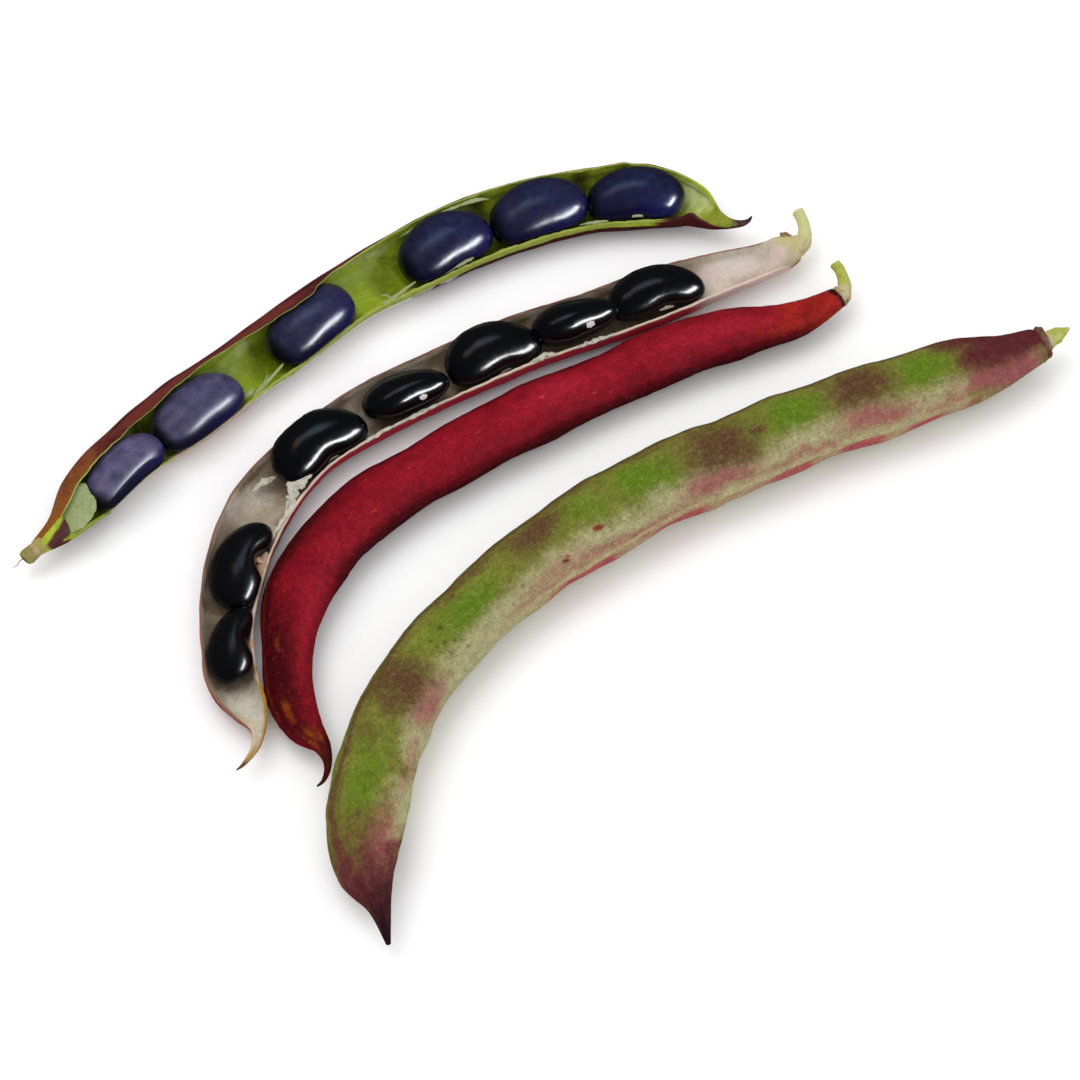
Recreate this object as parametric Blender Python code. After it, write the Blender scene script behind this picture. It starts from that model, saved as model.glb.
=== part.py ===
"""Four bean pods lying side by side as one bunch, two of them opened over their beans.

Lengths are in millimetres and become metres where a mesh is made. +X runs along the pods,
+Y across them to the pod with violet beans, and +Z up from the table they lie on. The origin
is on the table, in the middle of the bunch's footprint.

Every piece is a sphere's skin laid out again by a formula: its poles become the two ends of
the piece, its rings follow the line of the pod, and its sides go round the section.
"""

import math
from bisect import bisect_right

import bmesh
import bpy
import numpy as np

MM = 0.001  # metres in one millimetre

# Stations along each pod from its left end: x, y and the width of the pod there.
VIOLET_LINE = (
    (-100.6, 58.6, 3.6),
    (-91.5, 59.1, 8.2),
    (-83.4, 61.2, 13.0),
    (-67.4, 63.3, 14.5),
    (-51.5, 62.8, 16.7),
    (-35.2, 62.0, 15.8),
    (-18.8, 61.3, 16.2),
    (-2.0, 60.5, 15.6),
    (14.2, 57.5, 17.0),
    (30.4, 53.8, 18.2),
    (45.8, 47.9, 18.0),
    (59.9, 39.8, 17.2),
    (71.2, 29.9, 16.8),
    (76.2, 21.6, 12.2),
    (77.6, 13.2, 4.8),
    (80.4, 9.8, 2.2),
    (83.4, 7.9, 0.7),
)
PALE_LINE = (
    (-105.5, -16.2, 0.8),
    (-99.6, -15.4, 1.6),
    (-96.0, -11.6, 3.8),
    (-93.9, -6.0, 8.6),
    (-91.8, 1.4, 11.5),
    (-86.2, 9.7, 11.8),
    (-72.3, 22.6, 14.1),
    (-55.5, 31.5, 15.0),
    (-38.5, 34.4, 13.6),
    (-21.0, 32.7, 14.6),
    (1.7, 26.9, 14.9),
    (19.6, 21.4, 15.0),
    (35.0, 14.8, 14.5),
    (50.6, 8.9, 14.7),
    (67.4, 2.0, 11.7),
    (76.7, -2.3, 9.6),
    (84.4, -4.8, 6.8),
)
RED_LINE = (
    (-96.5, -31.5, 0.9),
    (-91.3, -28.2, 1.5),
    (-89.1, -24.4, 4.0),
    (-88.6, -19.1, 6.9),
    (-86.3, -12.2, 9.6),
    (-78.9, -2.5, 10.8),
    (-65.9, 8.2, 15.3),
    (-50.7, 12.9, 16.2),
    (-36.0, 13.5, 16.4),
    (-19.2, 10.7, 15.7),
    (-2.6, 7.5, 16.4),
    (12.1, 3.6, 15.9),
    (27.2, -1.3, 14.6),
    (43.8, -6.2, 15.6),
    (57.8, -13.2, 13.2),
    (72.0, -20.6, 9.0),
    (81.2, -22.4, 5.4),
)
GREEN_LINE = (
    (-112.1, -70.0, 0.9),
    (-107.2, -62.0, 5.0),
    (-103.1, -53.8, 12.4),
    (-96.5, -46.5, 16.6),
    (-80.5, -34.7, 17.6),
    (-62.8, -27.4, 17.7),
    (-44.3, -24.6, 17.8),
    (-25.7, -24.4, 18.8),
    (-7.0, -26.7, 20.1),
    (11.8, -30.5, 20.6),
    (29.4, -36.7, 20.4),
    (47.9, -42.9, 19.9),
    (65.3, -50.4, 19.6),
    (83.2, -57.8, 16.8),
    (93.0, -62.4, 12.0),
    (103.7, -66.2, 8.0),
)

# Stalks: x, y, z and radius from the pod's end outward.
VIOLET_STALK = (
    (-101.2, 58.7, 5.4, 1.9),
    (-102.6, 59.2, 5.2, 1.6),
    (-104.4, 59.3, 4.8, 1.1),
    (-106.2, 58.8, 4.6, 0.7),
)
PALE_STALK = (
    (85.6, -5.4, 5.5, 2.8),
    (88.0, -5.8, 5.7, 1.9),
    (90.4, -4.6, 6.2, 1.5),
    (92.1, -2.2, 6.8, 1.4),
    (93.2, 0.8, 7.2, 1.5),
)
RED_STALK = (
    (82.0, -22.6, 5.5, 2.3),
    (84.2, -22.4, 5.7, 1.7),
    (86.2, -20.9, 6.1, 1.5),
    (87.3, -18.4, 6.7, 1.4),
    (87.6, -15.9, 7.3, 1.5),
)
GREEN_STALK = (
    (104.5, -66.5, 7.6, 3.4),
    (106.2, -67.2, 7.8, 2.3),
    (108.4, -67.7, 7.8, 1.5),
    (110.4, -68.0, 7.8, 1.3),
    (112.0, -68.4, 7.9, 0.7),
)
STALK_RINGS = 12
STALK_SIDES = 10
CALYX_LOBES = 5
CALYX_LOBE_DEPTH = 0.16  # share of the radius that a lobe stands out at the stalk's foot
CALYX_REACH = 0.35  # share of the stalk over which the lobes fade

# The skin of a pod.
POD_RINGS = 48
CLOSED_SIDES = 16
OPEN_SIDES = 24
END_CAP = 0.4  # length of the closing cap at each end
SEAM_RIDGE = 0.5  # how far the seam ridges stand out at the two edges
SEAM_RIDGE_FULL_AT = 4.0  # half width of the pod from which the ridge has its full height
NARROW_WALL = 0.33  # most of a narrow end's half width that the wall takes up

# Closed pods: height of the seams, thickness over width, roll that lifts the near seam, the
# middle of the first and last seed, the number of seeds and how much each swells the pod.
RED_POD = {"height": 5.4, "flatness": 0.72, "roll": 8, "seeds": (36, 176, 7), "swell": 0.035}
GREEN_POD = {"height": 7.4, "flatness": 0.80, "roll": 10, "seeds": (30, 222, 9), "swell": 0.05}

# Opened pods: height of the seams, depth below and above them over the width, wall, the two
# ends of the cut, the length over which the hollow comes up to the skin at each end, and the
# angle past the far and near seam at which the valve is cut.
VIOLET_POD = {
    "height": 6.0,
    "depth": 0.36,
    "crown": 0.40,
    "wall": 1.0,
    "cut": (2, 206),
    "ease": (12, 14),
    "far_lip": (48, 12),
    "near_lip": (4, 8),
    "lip_change": (95, 130),
}
PALE_POD = {
    "height": 5.4,
    "depth": 0.37,
    "crown": 0.34,
    "wall": 0.9,
    "cut": (9, 214),
    "ease": (13, 12),
    "far_lip": (14, 10),
    "near_lip": (6, 10),
    "lip_change": (60, 160),
}
SECTION_POWER = 2.3  # 2 is an ellipse, more is fuller

# Beans: distance along the pod, offset from its line, length, width, thickness, roll about the
# bean's length and skew of its line from the pod's.
VIOLET_BEANS = (
    (28.0, -1.8, 22.6, 11.4, 9.0, 0, 3),
    (51.6, -1.0, 24.0, 14.2, 9.6, 0, 2),
    (87.0, -0.8, 24.6, 14.8, 9.8, 0, 0),
    (126.8, -0.3, 24.6, 15.0, 10.0, 0, 3),
    (152.2, 0.0, 24.8, 15.2, 10.0, 0, 5),
    (176.4, 0.0, 22.6, 14.2, 9.8, 0, 4),
)
BLACK_BEANS = (
    (33.4, -0.4, 18.8, 10.6, 8.2, 20, -4),
    (55.3, -0.5, 22.4, 12.8, 8.8, 10, -2),
    (93.0, 0.0, 23.6, 14.0, 9.0, 0, -3),
    (117.4, -0.9, 20.4, 12.6, 8.6, 42, -4),
    (141.0, 0.0, 22.8, 13.4, 8.8, 0, -2),
    (162.4, 0.2, 19.6, 12.2, 8.6, 48, 0),
    (183.6, 0.2, 22.0, 12.6, 8.8, 6, -3),
)
BEAN_RINGS = 12
BEAN_SIDES = 12
BEAN_BLUNTNESS = 0.80  # below 1 the ends are blunter than an ellipse's
BEAN_BEND = 1.3  # how far the ends bow to the side of the eye
EYE_DEPTH = 1.1  # dent at the eye, in the middle of the near side
EYE_REACH = 3.2  # how far the dent reaches along the bean
EYE_FOCUS = 3  # power that keeps the dent to the near side
GAP = 0.3  # clearance between pieces that touch


def smooth_step(low, high, value):
    """0 below low, 1 above high and an S curve between them."""
    share = min(max((value - low) / (high - low), 0.0), 1.0)
    return share * share * (3 - 2 * share)


def mix(start, end, share):
    return start + (end - start) * share


def powered(value):
    """A cosine or sine raised so that the section follows SECTION_POWER."""
    return math.copysign(abs(value) ** (2 / SECTION_POWER), value)


class Line:
    """A smooth line through stations, whose first columns are its coordinates."""

    def __init__(self, stations, coordinates=2):
        self.rows = np.array(stations, float)
        steps = np.linalg.norm(np.diff(self.rows[:, :coordinates], axis=0), axis=1)
        self.marks = np.concatenate(([0.0], np.cumsum(steps)))
        self.length = float(self.marks[-1])
        self.slopes = np.gradient(self.rows, self.marks, axis=0)

    def at(self, distance):
        """The row of numbers at this distance from the start, and its rate of change."""
        i = min(max(bisect_right(self.marks, distance) - 1, 0), len(self.marks) - 2)
        span = self.marks[i + 1] - self.marks[i]
        t = (distance - self.marks[i]) / span
        start, end = self.rows[i], self.rows[i + 1]
        leave, arrive = self.slopes[i] * span, self.slopes[i + 1] * span
        row = (
            (2 * t**3 - 3 * t**2 + 1) * start
            + (t**3 - 2 * t**2 + t) * leave
            + (3 * t**2 - 2 * t**3) * end
            + (t**3 - t**2) * arrive
        )
        rate = (
            (6 * t**2 - 6 * t) * (start - end)
            + (3 * t**2 - 4 * t + 1) * leave
            + (3 * t**2 - 2 * t) * arrive
        ) / span
        return row, rate

    def beside(self, distance, across, height):
        """The point this far along, this far to the left and this high, on or above the table."""
        row, rate = self.at(distance)
        heading = math.atan2(rate[1], rate[0])
        x = row[0] - across * math.sin(heading)
        y = row[1] + across * math.cos(heading)
        return x, y, max(height, 0.0)

    def ring(self, number, rings):
        """Where a ring of the skin lies, with the first and last close to the ends."""
        share = (number - 1) / (rings - 2)
        return END_CAP + (self.length - 2 * END_CAP) * min(max(share, 0.0), 1.0)


def finish(name, colour, roughness):
    material = bpy.data.materials.new(name)
    material.use_nodes = True
    shader = material.node_tree.nodes["Principled BSDF"]
    shader.inputs["Base Color"].default_value = (*colour, 1.0)
    shader.inputs["Roughness"].default_value = roughness
    shader.inputs["Metallic"].default_value = 0.0
    return material


def wrapped(name, rings, sides, place, material, collection):
    """A closed skin: a sphere whose point on ring k and side j goes to place(k, j)."""
    shape = bmesh.new()
    bmesh.ops.create_uvsphere(shape, u_segments=sides, v_segments=rings, radius=1.0)
    for vert in shape.verts:
        ring = round(math.acos(min(max(vert.co.z, -1.0), 1.0)) / math.pi * rings)
        side = round(math.atan2(vert.co.y, vert.co.x) / math.tau * sides) % sides
        vert.co = [MM * value for value in place(ring, side)]
    if shape.calc_volume(signed=True) < 0:
        bmesh.ops.reverse_faces(shape, faces=shape.faces)
    mesh = bpy.data.meshes.new(name)
    shape.to_mesh(mesh)
    shape.free()
    mesh.shade_smooth()
    mesh.materials.append(material)
    piece = bpy.data.objects.new(name, mesh)
    collection.objects.link(piece)
    return piece


def seed_swell(pod, distance):
    """How much a hidden row of seeds swells a closed pod here."""
    first, last, count = pod["seeds"]
    pitch = (last - first) / (count - 1)
    fade = smooth_step(first - pitch, first, distance) * smooth_step(last + pitch, last, distance)
    return 1 + pod["swell"] * fade * math.cos(math.tau * (distance - first) / pitch)


def closed_pod(name, line, pod, material, collection):
    """A whole pod: a plump lens in section, with a ridge along each seam."""
    roll = math.radians(pod["roll"])

    def place(ring, side):
        if ring in (0, POD_RINGS):
            return line.beside(line.length * (ring > 0), 0.0, pod["height"])
        distance = line.ring(ring, POD_RINGS)
        half_width = line.at(distance)[0][2] / 2
        angle = math.tau * side / CLOSED_SIDES
        on_seam = side % (CLOSED_SIDES // 2) == 0
        ridge = SEAM_RIDGE * smooth_step(0, SEAM_RIDGE_FULL_AT, half_width) * on_seam
        across = (half_width + ridge) * math.cos(angle)
        up = half_width * pod["flatness"] * seed_swell(pod, distance) * math.sin(angle)
        turned = across * math.cos(roll) + up * math.sin(roll)
        lifted = up * math.cos(roll) - across * math.sin(roll)
        return line.beside(distance, turned, pod["height"] + lifted)

    return wrapped(name, POD_RINGS, CLOSED_SIDES, place, material, collection)


def lips(pod, distance):
    """The angles past the far and the near seam at which the upper valve is cut here."""
    share = smooth_step(*pod["lip_change"], distance)
    return math.radians(mix(*pod["far_lip"], share)), math.radians(mix(*pod["near_lip"], share))


def section(pod, half_width, angle, inset=0.0):
    """Across and up from the seams' height, at this angle from the far seam, inset by a wall."""
    share = pod["depth"] if math.sin(angle) < 0 else pod["crown"]
    across = (half_width - inset) * powered(math.cos(angle))
    up = (2 * half_width * share - inset) * powered(math.sin(angle))
    return across, up


def open_pod(name, line, pod, material, collection):
    """A pod with its upper valve cut away: a boat with a wall, closed again at both ends."""
    half = OPEN_SIDES // 2

    def place(ring, side):
        if ring in (0, POD_RINGS):
            return line.beside(line.length * (ring > 0), 0.0, pod["height"])
        distance = line.ring(ring, POD_RINGS)
        half_width = line.at(distance)[0][2] / 2
        far, near = lips(pod, distance)
        if side >= half:
            angle = mix(math.pi - near, math.tau + far, (side - half) / half)
            across, up = section(pod, half_width, angle)
            return line.beside(distance, across, pod["height"] + up)
        start, end = pod["cut"]
        opening = smooth_step(start, start + pod["ease"][0], distance)
        opening *= smooth_step(end, end - pod["ease"][1], distance)
        lid = section(pod, half_width, mix(far, math.pi - near, side / half))
        if side == 0:
            return line.beside(distance, lid[0], pod["height"] + lid[1])
        wall = min(pod["wall"], half_width * NARROW_WALL)
        inner = mix(math.tau + far, math.pi - near, (side - 1) / (half - 2))
        hollow = section(pod, half_width, inner, wall)
        hollow = hollow[0], max(hollow[1], wall - pod["height"])
        across, up = (mix(a, b, opening) for a, b in zip(lid, hollow))
        return line.beside(distance, across, pod["height"] + up)

    return wrapped(name, POD_RINGS, OPEN_SIDES, place, material, collection)


def kept_inside(pod, half_width, across, up):
    """The point, drawn in where it would come closer to the pod's wall than the gap."""
    inset = pod["wall"] + GAP
    share = pod["depth"] if up < 0 else pod["crown"]
    reach = (
        (abs(across) / (half_width - inset)) ** SECTION_POWER
        + (abs(up) / (2 * half_width * share - inset)) ** SECTION_POWER
    ) ** (1 / SECTION_POWER)
    scale = 1 / max(reach, 1.0)
    return across * scale, up * scale


def bean(name, line, pod, row, material, collection):
    """A kidney of a seed that lies along its pod, with its eye to the near seam."""
    middle, offset, length, width, thickness, roll_degrees, skew_degrees = row
    roll = math.radians(roll_degrees)
    skew = math.tan(math.radians(skew_degrees))
    half_height = math.hypot(thickness * math.cos(roll), width * math.sin(roll)) / 2
    depth = line.at(middle)[0][2] * pod["depth"]
    floor = max(pod["height"] - depth, 0.0) + pod["wall"]
    rest = floor + GAP + half_height

    def place(ring, side):
        turn = math.pi * ring / BEAN_RINGS
        along = length / 2 * math.cos(turn)
        girth = math.sin(turn) ** BEAN_BLUNTNESS if 0 < ring < BEAN_RINGS else 0.0
        angle = math.tau * side / BEAN_SIDES
        across = width / 2 * girth * math.cos(angle) - BEAN_BEND * (2 * along / length) ** 2
        dent = math.exp(-((along / EYE_REACH) ** 2)) * max(-math.cos(angle), 0.0) ** EYE_FOCUS
        across += EYE_DEPTH * dent + BEAN_BEND / 2
        up = thickness / 2 * girth * math.sin(angle)
        turned = across * math.cos(roll) + up * math.sin(roll) + offset + skew * along
        lifted = up * math.cos(roll) - across * math.sin(roll)
        distance = middle + along
        half_width = line.at(distance)[0][2] / 2
        held = kept_inside(pod, half_width, turned, rest + lifted - pod["height"])
        low = pod["wall"] + GAP
        return line.beside(distance, held[0], max(pod["height"] + held[1], low))

    return wrapped(name, BEAN_RINGS, BEAN_SIDES, place, material, collection)


def stalk(name, stations, material, collection):
    """A short stalk: a tapering round stem with the lobes of the flower's cup at its foot."""
    line = Line(stations, coordinates=3)

    def place(ring, side):
        share = min(max((ring - 1) / (STALK_RINGS - 2), 0.0), 1.0)
        row, rate = line.at(line.length * share)
        if ring in (0, STALK_RINGS):
            return row[:3]
        forward = rate[:3] / np.linalg.norm(rate[:3])
        left = np.cross((0.0, 0.0, 1.0), forward)
        left /= np.linalg.norm(left)
        angle = math.tau * side / STALK_SIDES
        lobes = 1 + CALYX_LOBE_DEPTH * math.cos(CALYX_LOBES * angle) * (
            1 - smooth_step(0, CALYX_REACH, share)
        )
        spoke = left * math.cos(angle) + np.cross(forward, left) * math.sin(angle)
        return row[:3] + row[3] * lobes * spoke

    return wrapped(name, STALK_RINGS, STALK_SIDES, place, material, collection)


def build():
    for piece in list(bpy.data.objects):
        bpy.data.objects.remove(piece, do_unlink=True)
    bunch = bpy.data.collections.new("bean_bunch")
    bpy.context.scene.collection.children.link(bunch)

    lines = {
        "violet": Line(VIOLET_LINE),
        "pale": Line(PALE_LINE),
        "red": Line(RED_LINE),
        "green": Line(GREEN_LINE),
    }
    violet_skin = finish("violet_pod_skin", (0.28, 0.36, 0.05), 0.5)
    pale_skin = finish("pale_pod_skin", (0.60, 0.47, 0.42), 0.5)
    red_skin = finish("red_pod_skin", (0.30, 0.012, 0.02), 0.45)
    green_skin = finish("green_pod_skin", (0.13, 0.24, 0.04), 0.45)
    violet_seed = finish("violet_bean_coat", (0.02, 0.018, 0.10), 0.25)
    black_seed = finish("black_bean_coat", (0.004, 0.004, 0.008), 0.15)
    dry_stalk = finish("dry_stalk", (0.19, 0.13, 0.03), 0.7)
    fresh_stalk = finish("fresh_stalk", (0.45, 0.50, 0.12), 0.55)

    open_pod("violet_pod", lines["violet"], VIOLET_POD, violet_skin, bunch)
    for number, row in enumerate(VIOLET_BEANS, 1):
        bean(f"violet_bean_{number}", lines["violet"], VIOLET_POD, row, violet_seed, bunch)
    stalk("violet_stalk", VIOLET_STALK, dry_stalk, bunch)

    open_pod("pale_pod", lines["pale"], PALE_POD, pale_skin, bunch)
    for number, row in enumerate(BLACK_BEANS, 1):
        bean(f"black_bean_{number}", lines["pale"], PALE_POD, row, black_seed, bunch)
    stalk("pale_stalk", PALE_STALK, fresh_stalk, bunch)

    closed_pod("red_pod", lines["red"], RED_POD, red_skin, bunch)
    stalk("red_stalk", RED_STALK, fresh_stalk, bunch)

    closed_pod("green_pod", lines["green"], GREEN_POD, green_skin, bunch)
    stalk("green_stalk", GREEN_STALK, fresh_stalk, bunch)


build()
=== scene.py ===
import math

import bpy
import numpy as np
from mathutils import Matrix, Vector


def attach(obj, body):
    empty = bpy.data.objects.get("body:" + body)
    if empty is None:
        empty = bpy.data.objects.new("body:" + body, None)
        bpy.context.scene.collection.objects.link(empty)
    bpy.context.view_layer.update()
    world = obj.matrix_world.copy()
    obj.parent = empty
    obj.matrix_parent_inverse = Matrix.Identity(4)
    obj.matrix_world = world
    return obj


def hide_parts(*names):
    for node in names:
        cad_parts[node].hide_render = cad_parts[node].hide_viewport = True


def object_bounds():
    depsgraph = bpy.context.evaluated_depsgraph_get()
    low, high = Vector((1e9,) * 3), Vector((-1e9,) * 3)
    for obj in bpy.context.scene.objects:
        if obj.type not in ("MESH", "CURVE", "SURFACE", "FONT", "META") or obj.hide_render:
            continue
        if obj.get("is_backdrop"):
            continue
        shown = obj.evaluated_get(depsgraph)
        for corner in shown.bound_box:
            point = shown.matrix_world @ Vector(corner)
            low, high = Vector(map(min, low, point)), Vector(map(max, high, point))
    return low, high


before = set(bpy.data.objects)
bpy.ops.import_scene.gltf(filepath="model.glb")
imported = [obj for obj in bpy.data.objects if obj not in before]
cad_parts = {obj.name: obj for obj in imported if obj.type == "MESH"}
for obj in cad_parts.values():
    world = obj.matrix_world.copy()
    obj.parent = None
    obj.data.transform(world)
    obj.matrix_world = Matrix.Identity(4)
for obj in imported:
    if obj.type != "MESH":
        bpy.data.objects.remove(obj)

cad_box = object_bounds()

# Everything below is in millimetres and degrees, and becomes metres where a mesh is made.
MM = 0.001

# Stations along each pod from its left end: x, y and the width of the pod there.
VIOLET_LINE = (
    (-100.6, 58.6, 3.6), (-91.5, 59.1, 8.2), (-83.4, 61.2, 13), (-67.4, 63.3, 14.5),
    (-51.5, 62.8, 16.7), (-35.2, 62, 15.8), (-18.8, 61.3, 16.2), (-2, 60.5, 15.6),
    (14.2, 57.5, 17), (30.4, 53.8, 18.2), (45.8, 47.9, 18), (59.9, 39.8, 17.2),
    (71.2, 29.9, 16.8), (76.2, 21.6, 12.2), (77.6, 13.2, 4.8), (78.5, 11.3, 3.2),
    (79.7, 9.8, 2.2), (81.5, 8.5, 1.5), (83, 8.2, 0.9), (84.4, 8.6, 0.3),
)
PALE_LINE = (
    (-106.3, -15.4, 0.3), (-104.8, -15.5, 0.7), (-102.4, -15.1, 1.3), (-99.4, -14.1, 2),
    (-96.3, -11.6, 3.4), (-93.9, -6, 8.6),
    (-91.8, 1.4, 11.5), (-86.2, 9.7, 11.8), (-72.3, 22.6, 14.1), (-55.5, 31.5, 15),
    (-38.5, 34.4, 13.6), (-21, 32.7, 14.6), (1.7, 26.9, 14.9), (19.6, 21.4, 15),
    (35, 14.8, 14.5), (50.6, 8.9, 14.7), (67.4, 2, 11.7), (76.7, -2.3, 9.6),
    (83.6, -4.6, 8), (85.6, -5.2, 6.2),
)
RED_LINE = (
    (-96.6, -30.8, 0.4), (-94.8, -30.8, 0.9), (-92.9, -30, 1.3), (-90.6, -27.9, 1.9),
    (-89, -24.6, 3.5), (-88.6, -19.1, 6.9),
    (-86.3, -12.2, 9.6), (-78.9, -2.5, 10.8), (-65.9, 8.2, 15.3), (-50.7, 12.9, 16.2),
    (-36, 13.5, 16.4), (-19.2, 10.7, 15.7), (-2.6, 7.5, 16.4), (12.1, 3.6, 15.9),
    (27.2, -1.3, 14.6), (43.8, -6.2, 15.6), (57.8, -13.2, 13.2), (72, -20.6, 9),
    (81.9, -22.4, 5.4),
)
GREEN_LINE = (
    (-112.1, -70, 0.9), (-107.2, -62, 5), (-103.1, -53.8, 12.4), (-96.5, -46.5, 16.6),
    (-80.5, -34.7, 17.6), (-62.8, -27.4, 17.7), (-44.3, -24.6, 17.8), (-25.7, -24.4, 18.8),
    (-7, -26.7, 20.1), (11.8, -30.5, 20.6), (29.4, -36.7, 20.4), (47.9, -42.9, 19.9),
    (65.3, -50.4, 19.6), (83.2, -57.8, 17.8), (93, -62.4, 14.2), (104.2, -66.4, 8.6),
)

# Stalks: x, y, z and radius from inside the pod's end outward.
VIOLET_STALK = (
    (-99.6, 58.6, 5.8, 1.7), (-101.2, 58.7, 5.6, 1.8), (-102.8, 58.9, 5.3, 1.9),
    (-104, 58.9, 5.1, 1.6),
)
PALE_STALK = (
    (83.6, -4.6, 5.4, 2.4), (85.6, -5.1, 5.6, 2.6), (87.6, -5.3, 5.9, 2.1), (89.6, -4, 6.3, 1.6),
    (91.3, -1.8, 6.9, 1.4), (92.6, 1.2, 7.3, 1.4),
)
RED_STALK = (
    (81.2, -22.4, 5.4, 2.1), (82.5, -22.6, 5.6, 2.3), (84, -22, 5.8, 1.8),
    (85.6, -20.4, 6.2, 1.4), (86.7, -18.2, 6.8, 1.3), (87.2, -15.7, 7.4, 1.3),
)
GREEN_STALK = (
    (103, -66.1, 7.4, 2.8), (104.9, -66.7, 7.7, 2.6), (106.6, -67.2, 7.9, 2),
    (108.4, -67.6, 8, 1.9), (110.2, -68, 8, 1), (111.9, -68.3, 8.1, 0.3),
)

# How far past the far and the near seam the skin still stands, in degrees, along each opened pod.
VIOLET_FAR_LIP = (
    (0, 88), (14, 80), (28, 77), (42, 73), (52, 64), (61, 55), (68, 58), (77, 68), (86, 73),
    (91.5, 73), (94, 62), (101, 46), (112, 32), (128, 15), (168, 13), (171.5, 18), (173.5, 27),
    (175.5, 17), (186, 14), (198, 22), (206, 30),
)
VIOLET_NEAR_LIP = (
    (0, 8), (10, 2), (16, -14), (20, -40), (37, -40), (44, -18), (58, -14), (66, -4), (78, -4),
    (100, 0), (118, 2), (150, 3), (184, 5), (190, 13), (193, 36), (195.4, 24), (198.5, 10), (206, 12),
)
PALE_FAR_LIP = ((0, 16), (60, 14), (110, 12), (160, 10), (220, 10))
PALE_NEAR_LIP = ((0, 8), (26, 2), (64, 2), (110, 8), (160, 9), (200, 9), (220, 14))

# Beans: distance along the pod, offset from its line, length, width, thickness, roll, skew,
# depth of the dent at the eye, how pale the coat is, bend, fullness of the far end, the eye's
# distance from the middle, its angle, its half length and half spread, and how far it shows.
VIOLET_BEANS = (
    (28, -2.7, 23.4, 12.6, 9.4, 0, 1, 0.3, 1, 1, 0.06, 0, 205, 2, 9, 0),
    (51.6, -1.8, 24.4, 15.2, 10.2, 0, 1, 0.5, 0.75, 1.4, 0.02, 1, 205, 2, 9, 0),
    (87, -0.9, 25, 16.2, 10.6, 0, 4, 0.3, 0.20, 1.2, 0.06, 0, 205, 2, 9, 0),
    (126.4, -1, 25, 16.6, 10.8, 0, 3, 0.4, 0.08, 1.5, 0.02, 1.6, 178, 2.8, 8, 1),
    (151.6, -0.9, 25.4, 16.6, 10.6, 0, 5, 0.2, 0.08, 1.6, 0, 0, 208, 2, 9, 0),
    (176, -0.5, 24, 15.2, 10.4, 0, 4, 0.6, 0.04, 1.8, 0.02, 0.6, 178, 2, 6, 1),
)
BLACK_BEANS = (
    (33.6, -1.5, 19.8, 11.2, 8.4, 20, -7, 1.7, 0.5, 1.4, -0.10, 0.8, 190, 1.5, 9, 0),
    (55.3, -1.6, 24, 13.2, 9.2, 10, -2, 2.7, 0.4, 1.6, -0.06, 1.8, 190, 1.5, 9, 0),
    (92.7, -0.2, 25, 14.8, 9.6, 0, -3, 1, 0, 2.6, 0, 0.6, 191, 2, 9, 0.75),
    (117.2, -0.8, 21.6, 13.6, 9.4, 36, -4, 0.5, 0, 1.6, -0.05, 2.6, 184, 1.05, 10, 1),
    (140.8, -0.2, 24.2, 14.8, 9.6, 0, -2, 0.7, 0, 2.6, -0.07, 0.9, 191, 1.9, 9, 0.8),
    (162.4, 0, 21.6, 13.6, 9.6, 40, 0, 0.4, 0, 1.6, -0.10, 2.2, 185, 1.15, 11, 1),
    (183.4, 0.2, 24, 13.8, 9.4, 6, -3, 1, 0, 2.4, 0.02, 1, 188, 2.1, 9, 1),
)
FAR_HOLLOW = (87, -1, 4, 2.2)  # on the third violet bean: its middle, shift, reach and depth

# Pods: the same measures as the solids that they stand for. An opened pod also has its mouth
# (start, end, ease in, ease out), the first of its seeds for noise, how much the wall grows
# towards the far and the near lip, the share of the wall that the lips keep, and how ragged
# they are.
RED_POD = {"height": 5.4, "flatness": 0.72, "roll": 8, "seeds": (36, 176, 7), "swell": 0.035}
GREEN_POD = {"height": 7.4, "flatness": 0.785, "roll": 10, "seeds": (30, 222, 9), "swell": 0.05}
VIOLET_POD = {
    "height": 6.0, "depth": 0.36, "crown": 0.40, "wall": 1.0,
    "beans": VIOLET_BEANS, "lips": (VIOLET_FAR_LIP, VIOLET_NEAR_LIP), "mouth": (7, 201, 6, 9),
    "seed": 10, "lip_share": (0.55, 0.75), "ragged": 0.9, "bluntness": 0.78,
    "growth": (((0, 0.1), (88, 0.1), (104, 0.8), (206, 0.6)), ((0, 0.1), (66, 0.2), (90, 0.5), (206, 0.5))),
}
PALE_POD = {
    "height": 5.4, "depth": 0.37, "crown": 0.34, "wall": 0.9,
    "beans": BLACK_BEANS, "lips": (PALE_FAR_LIP, PALE_NEAR_LIP), "mouth": (8, 217, 11, 7),
    "seed": 50, "lip_share": (0.45, 0.8), "ragged": 0.8, "bluntness": 0.88,
    "growth": (((0, 0), (220, 0)), ((0, 0.3), (190, 0.3), (220, 0.1))),
}
SECTION_POWER = 2.3
EYE_REACH = 4.0
EYE_FOCUS = 3
GAP = 0.3
RELEASE = 1.4  # over how much height past the lip a bean gets free of the wall
END_ROUND = 0.16  # how far the rounding of a pod's end reaches, in shares of its width

# Fineness of the meshes.
POD_RINGS = 560
CLOSED_SIDES = 108
OUTER_SIDES = 66
INNER_SIDES = 56
RIM_SIDES = 5
BEAN_RINGS = 84
BEAN_END = 0.012  # how far the first ring is from a bean's very end, in radians
BEAN_SIDES = 72
STALK_RINGS = 60
STALK_SIDES = 36
END_CROWDING = 0.35  # how much closer the rings are at a pod's ends
DEGREES_PER_MM = 6  # round a pod, roughly, where noise is laid on its skin
FLESH_DEPTH = 1.0  # how far light gets under a skin
FLESH_SPREAD = (1.0, 0.6, 0.35)  # in red, green and blue


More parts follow.
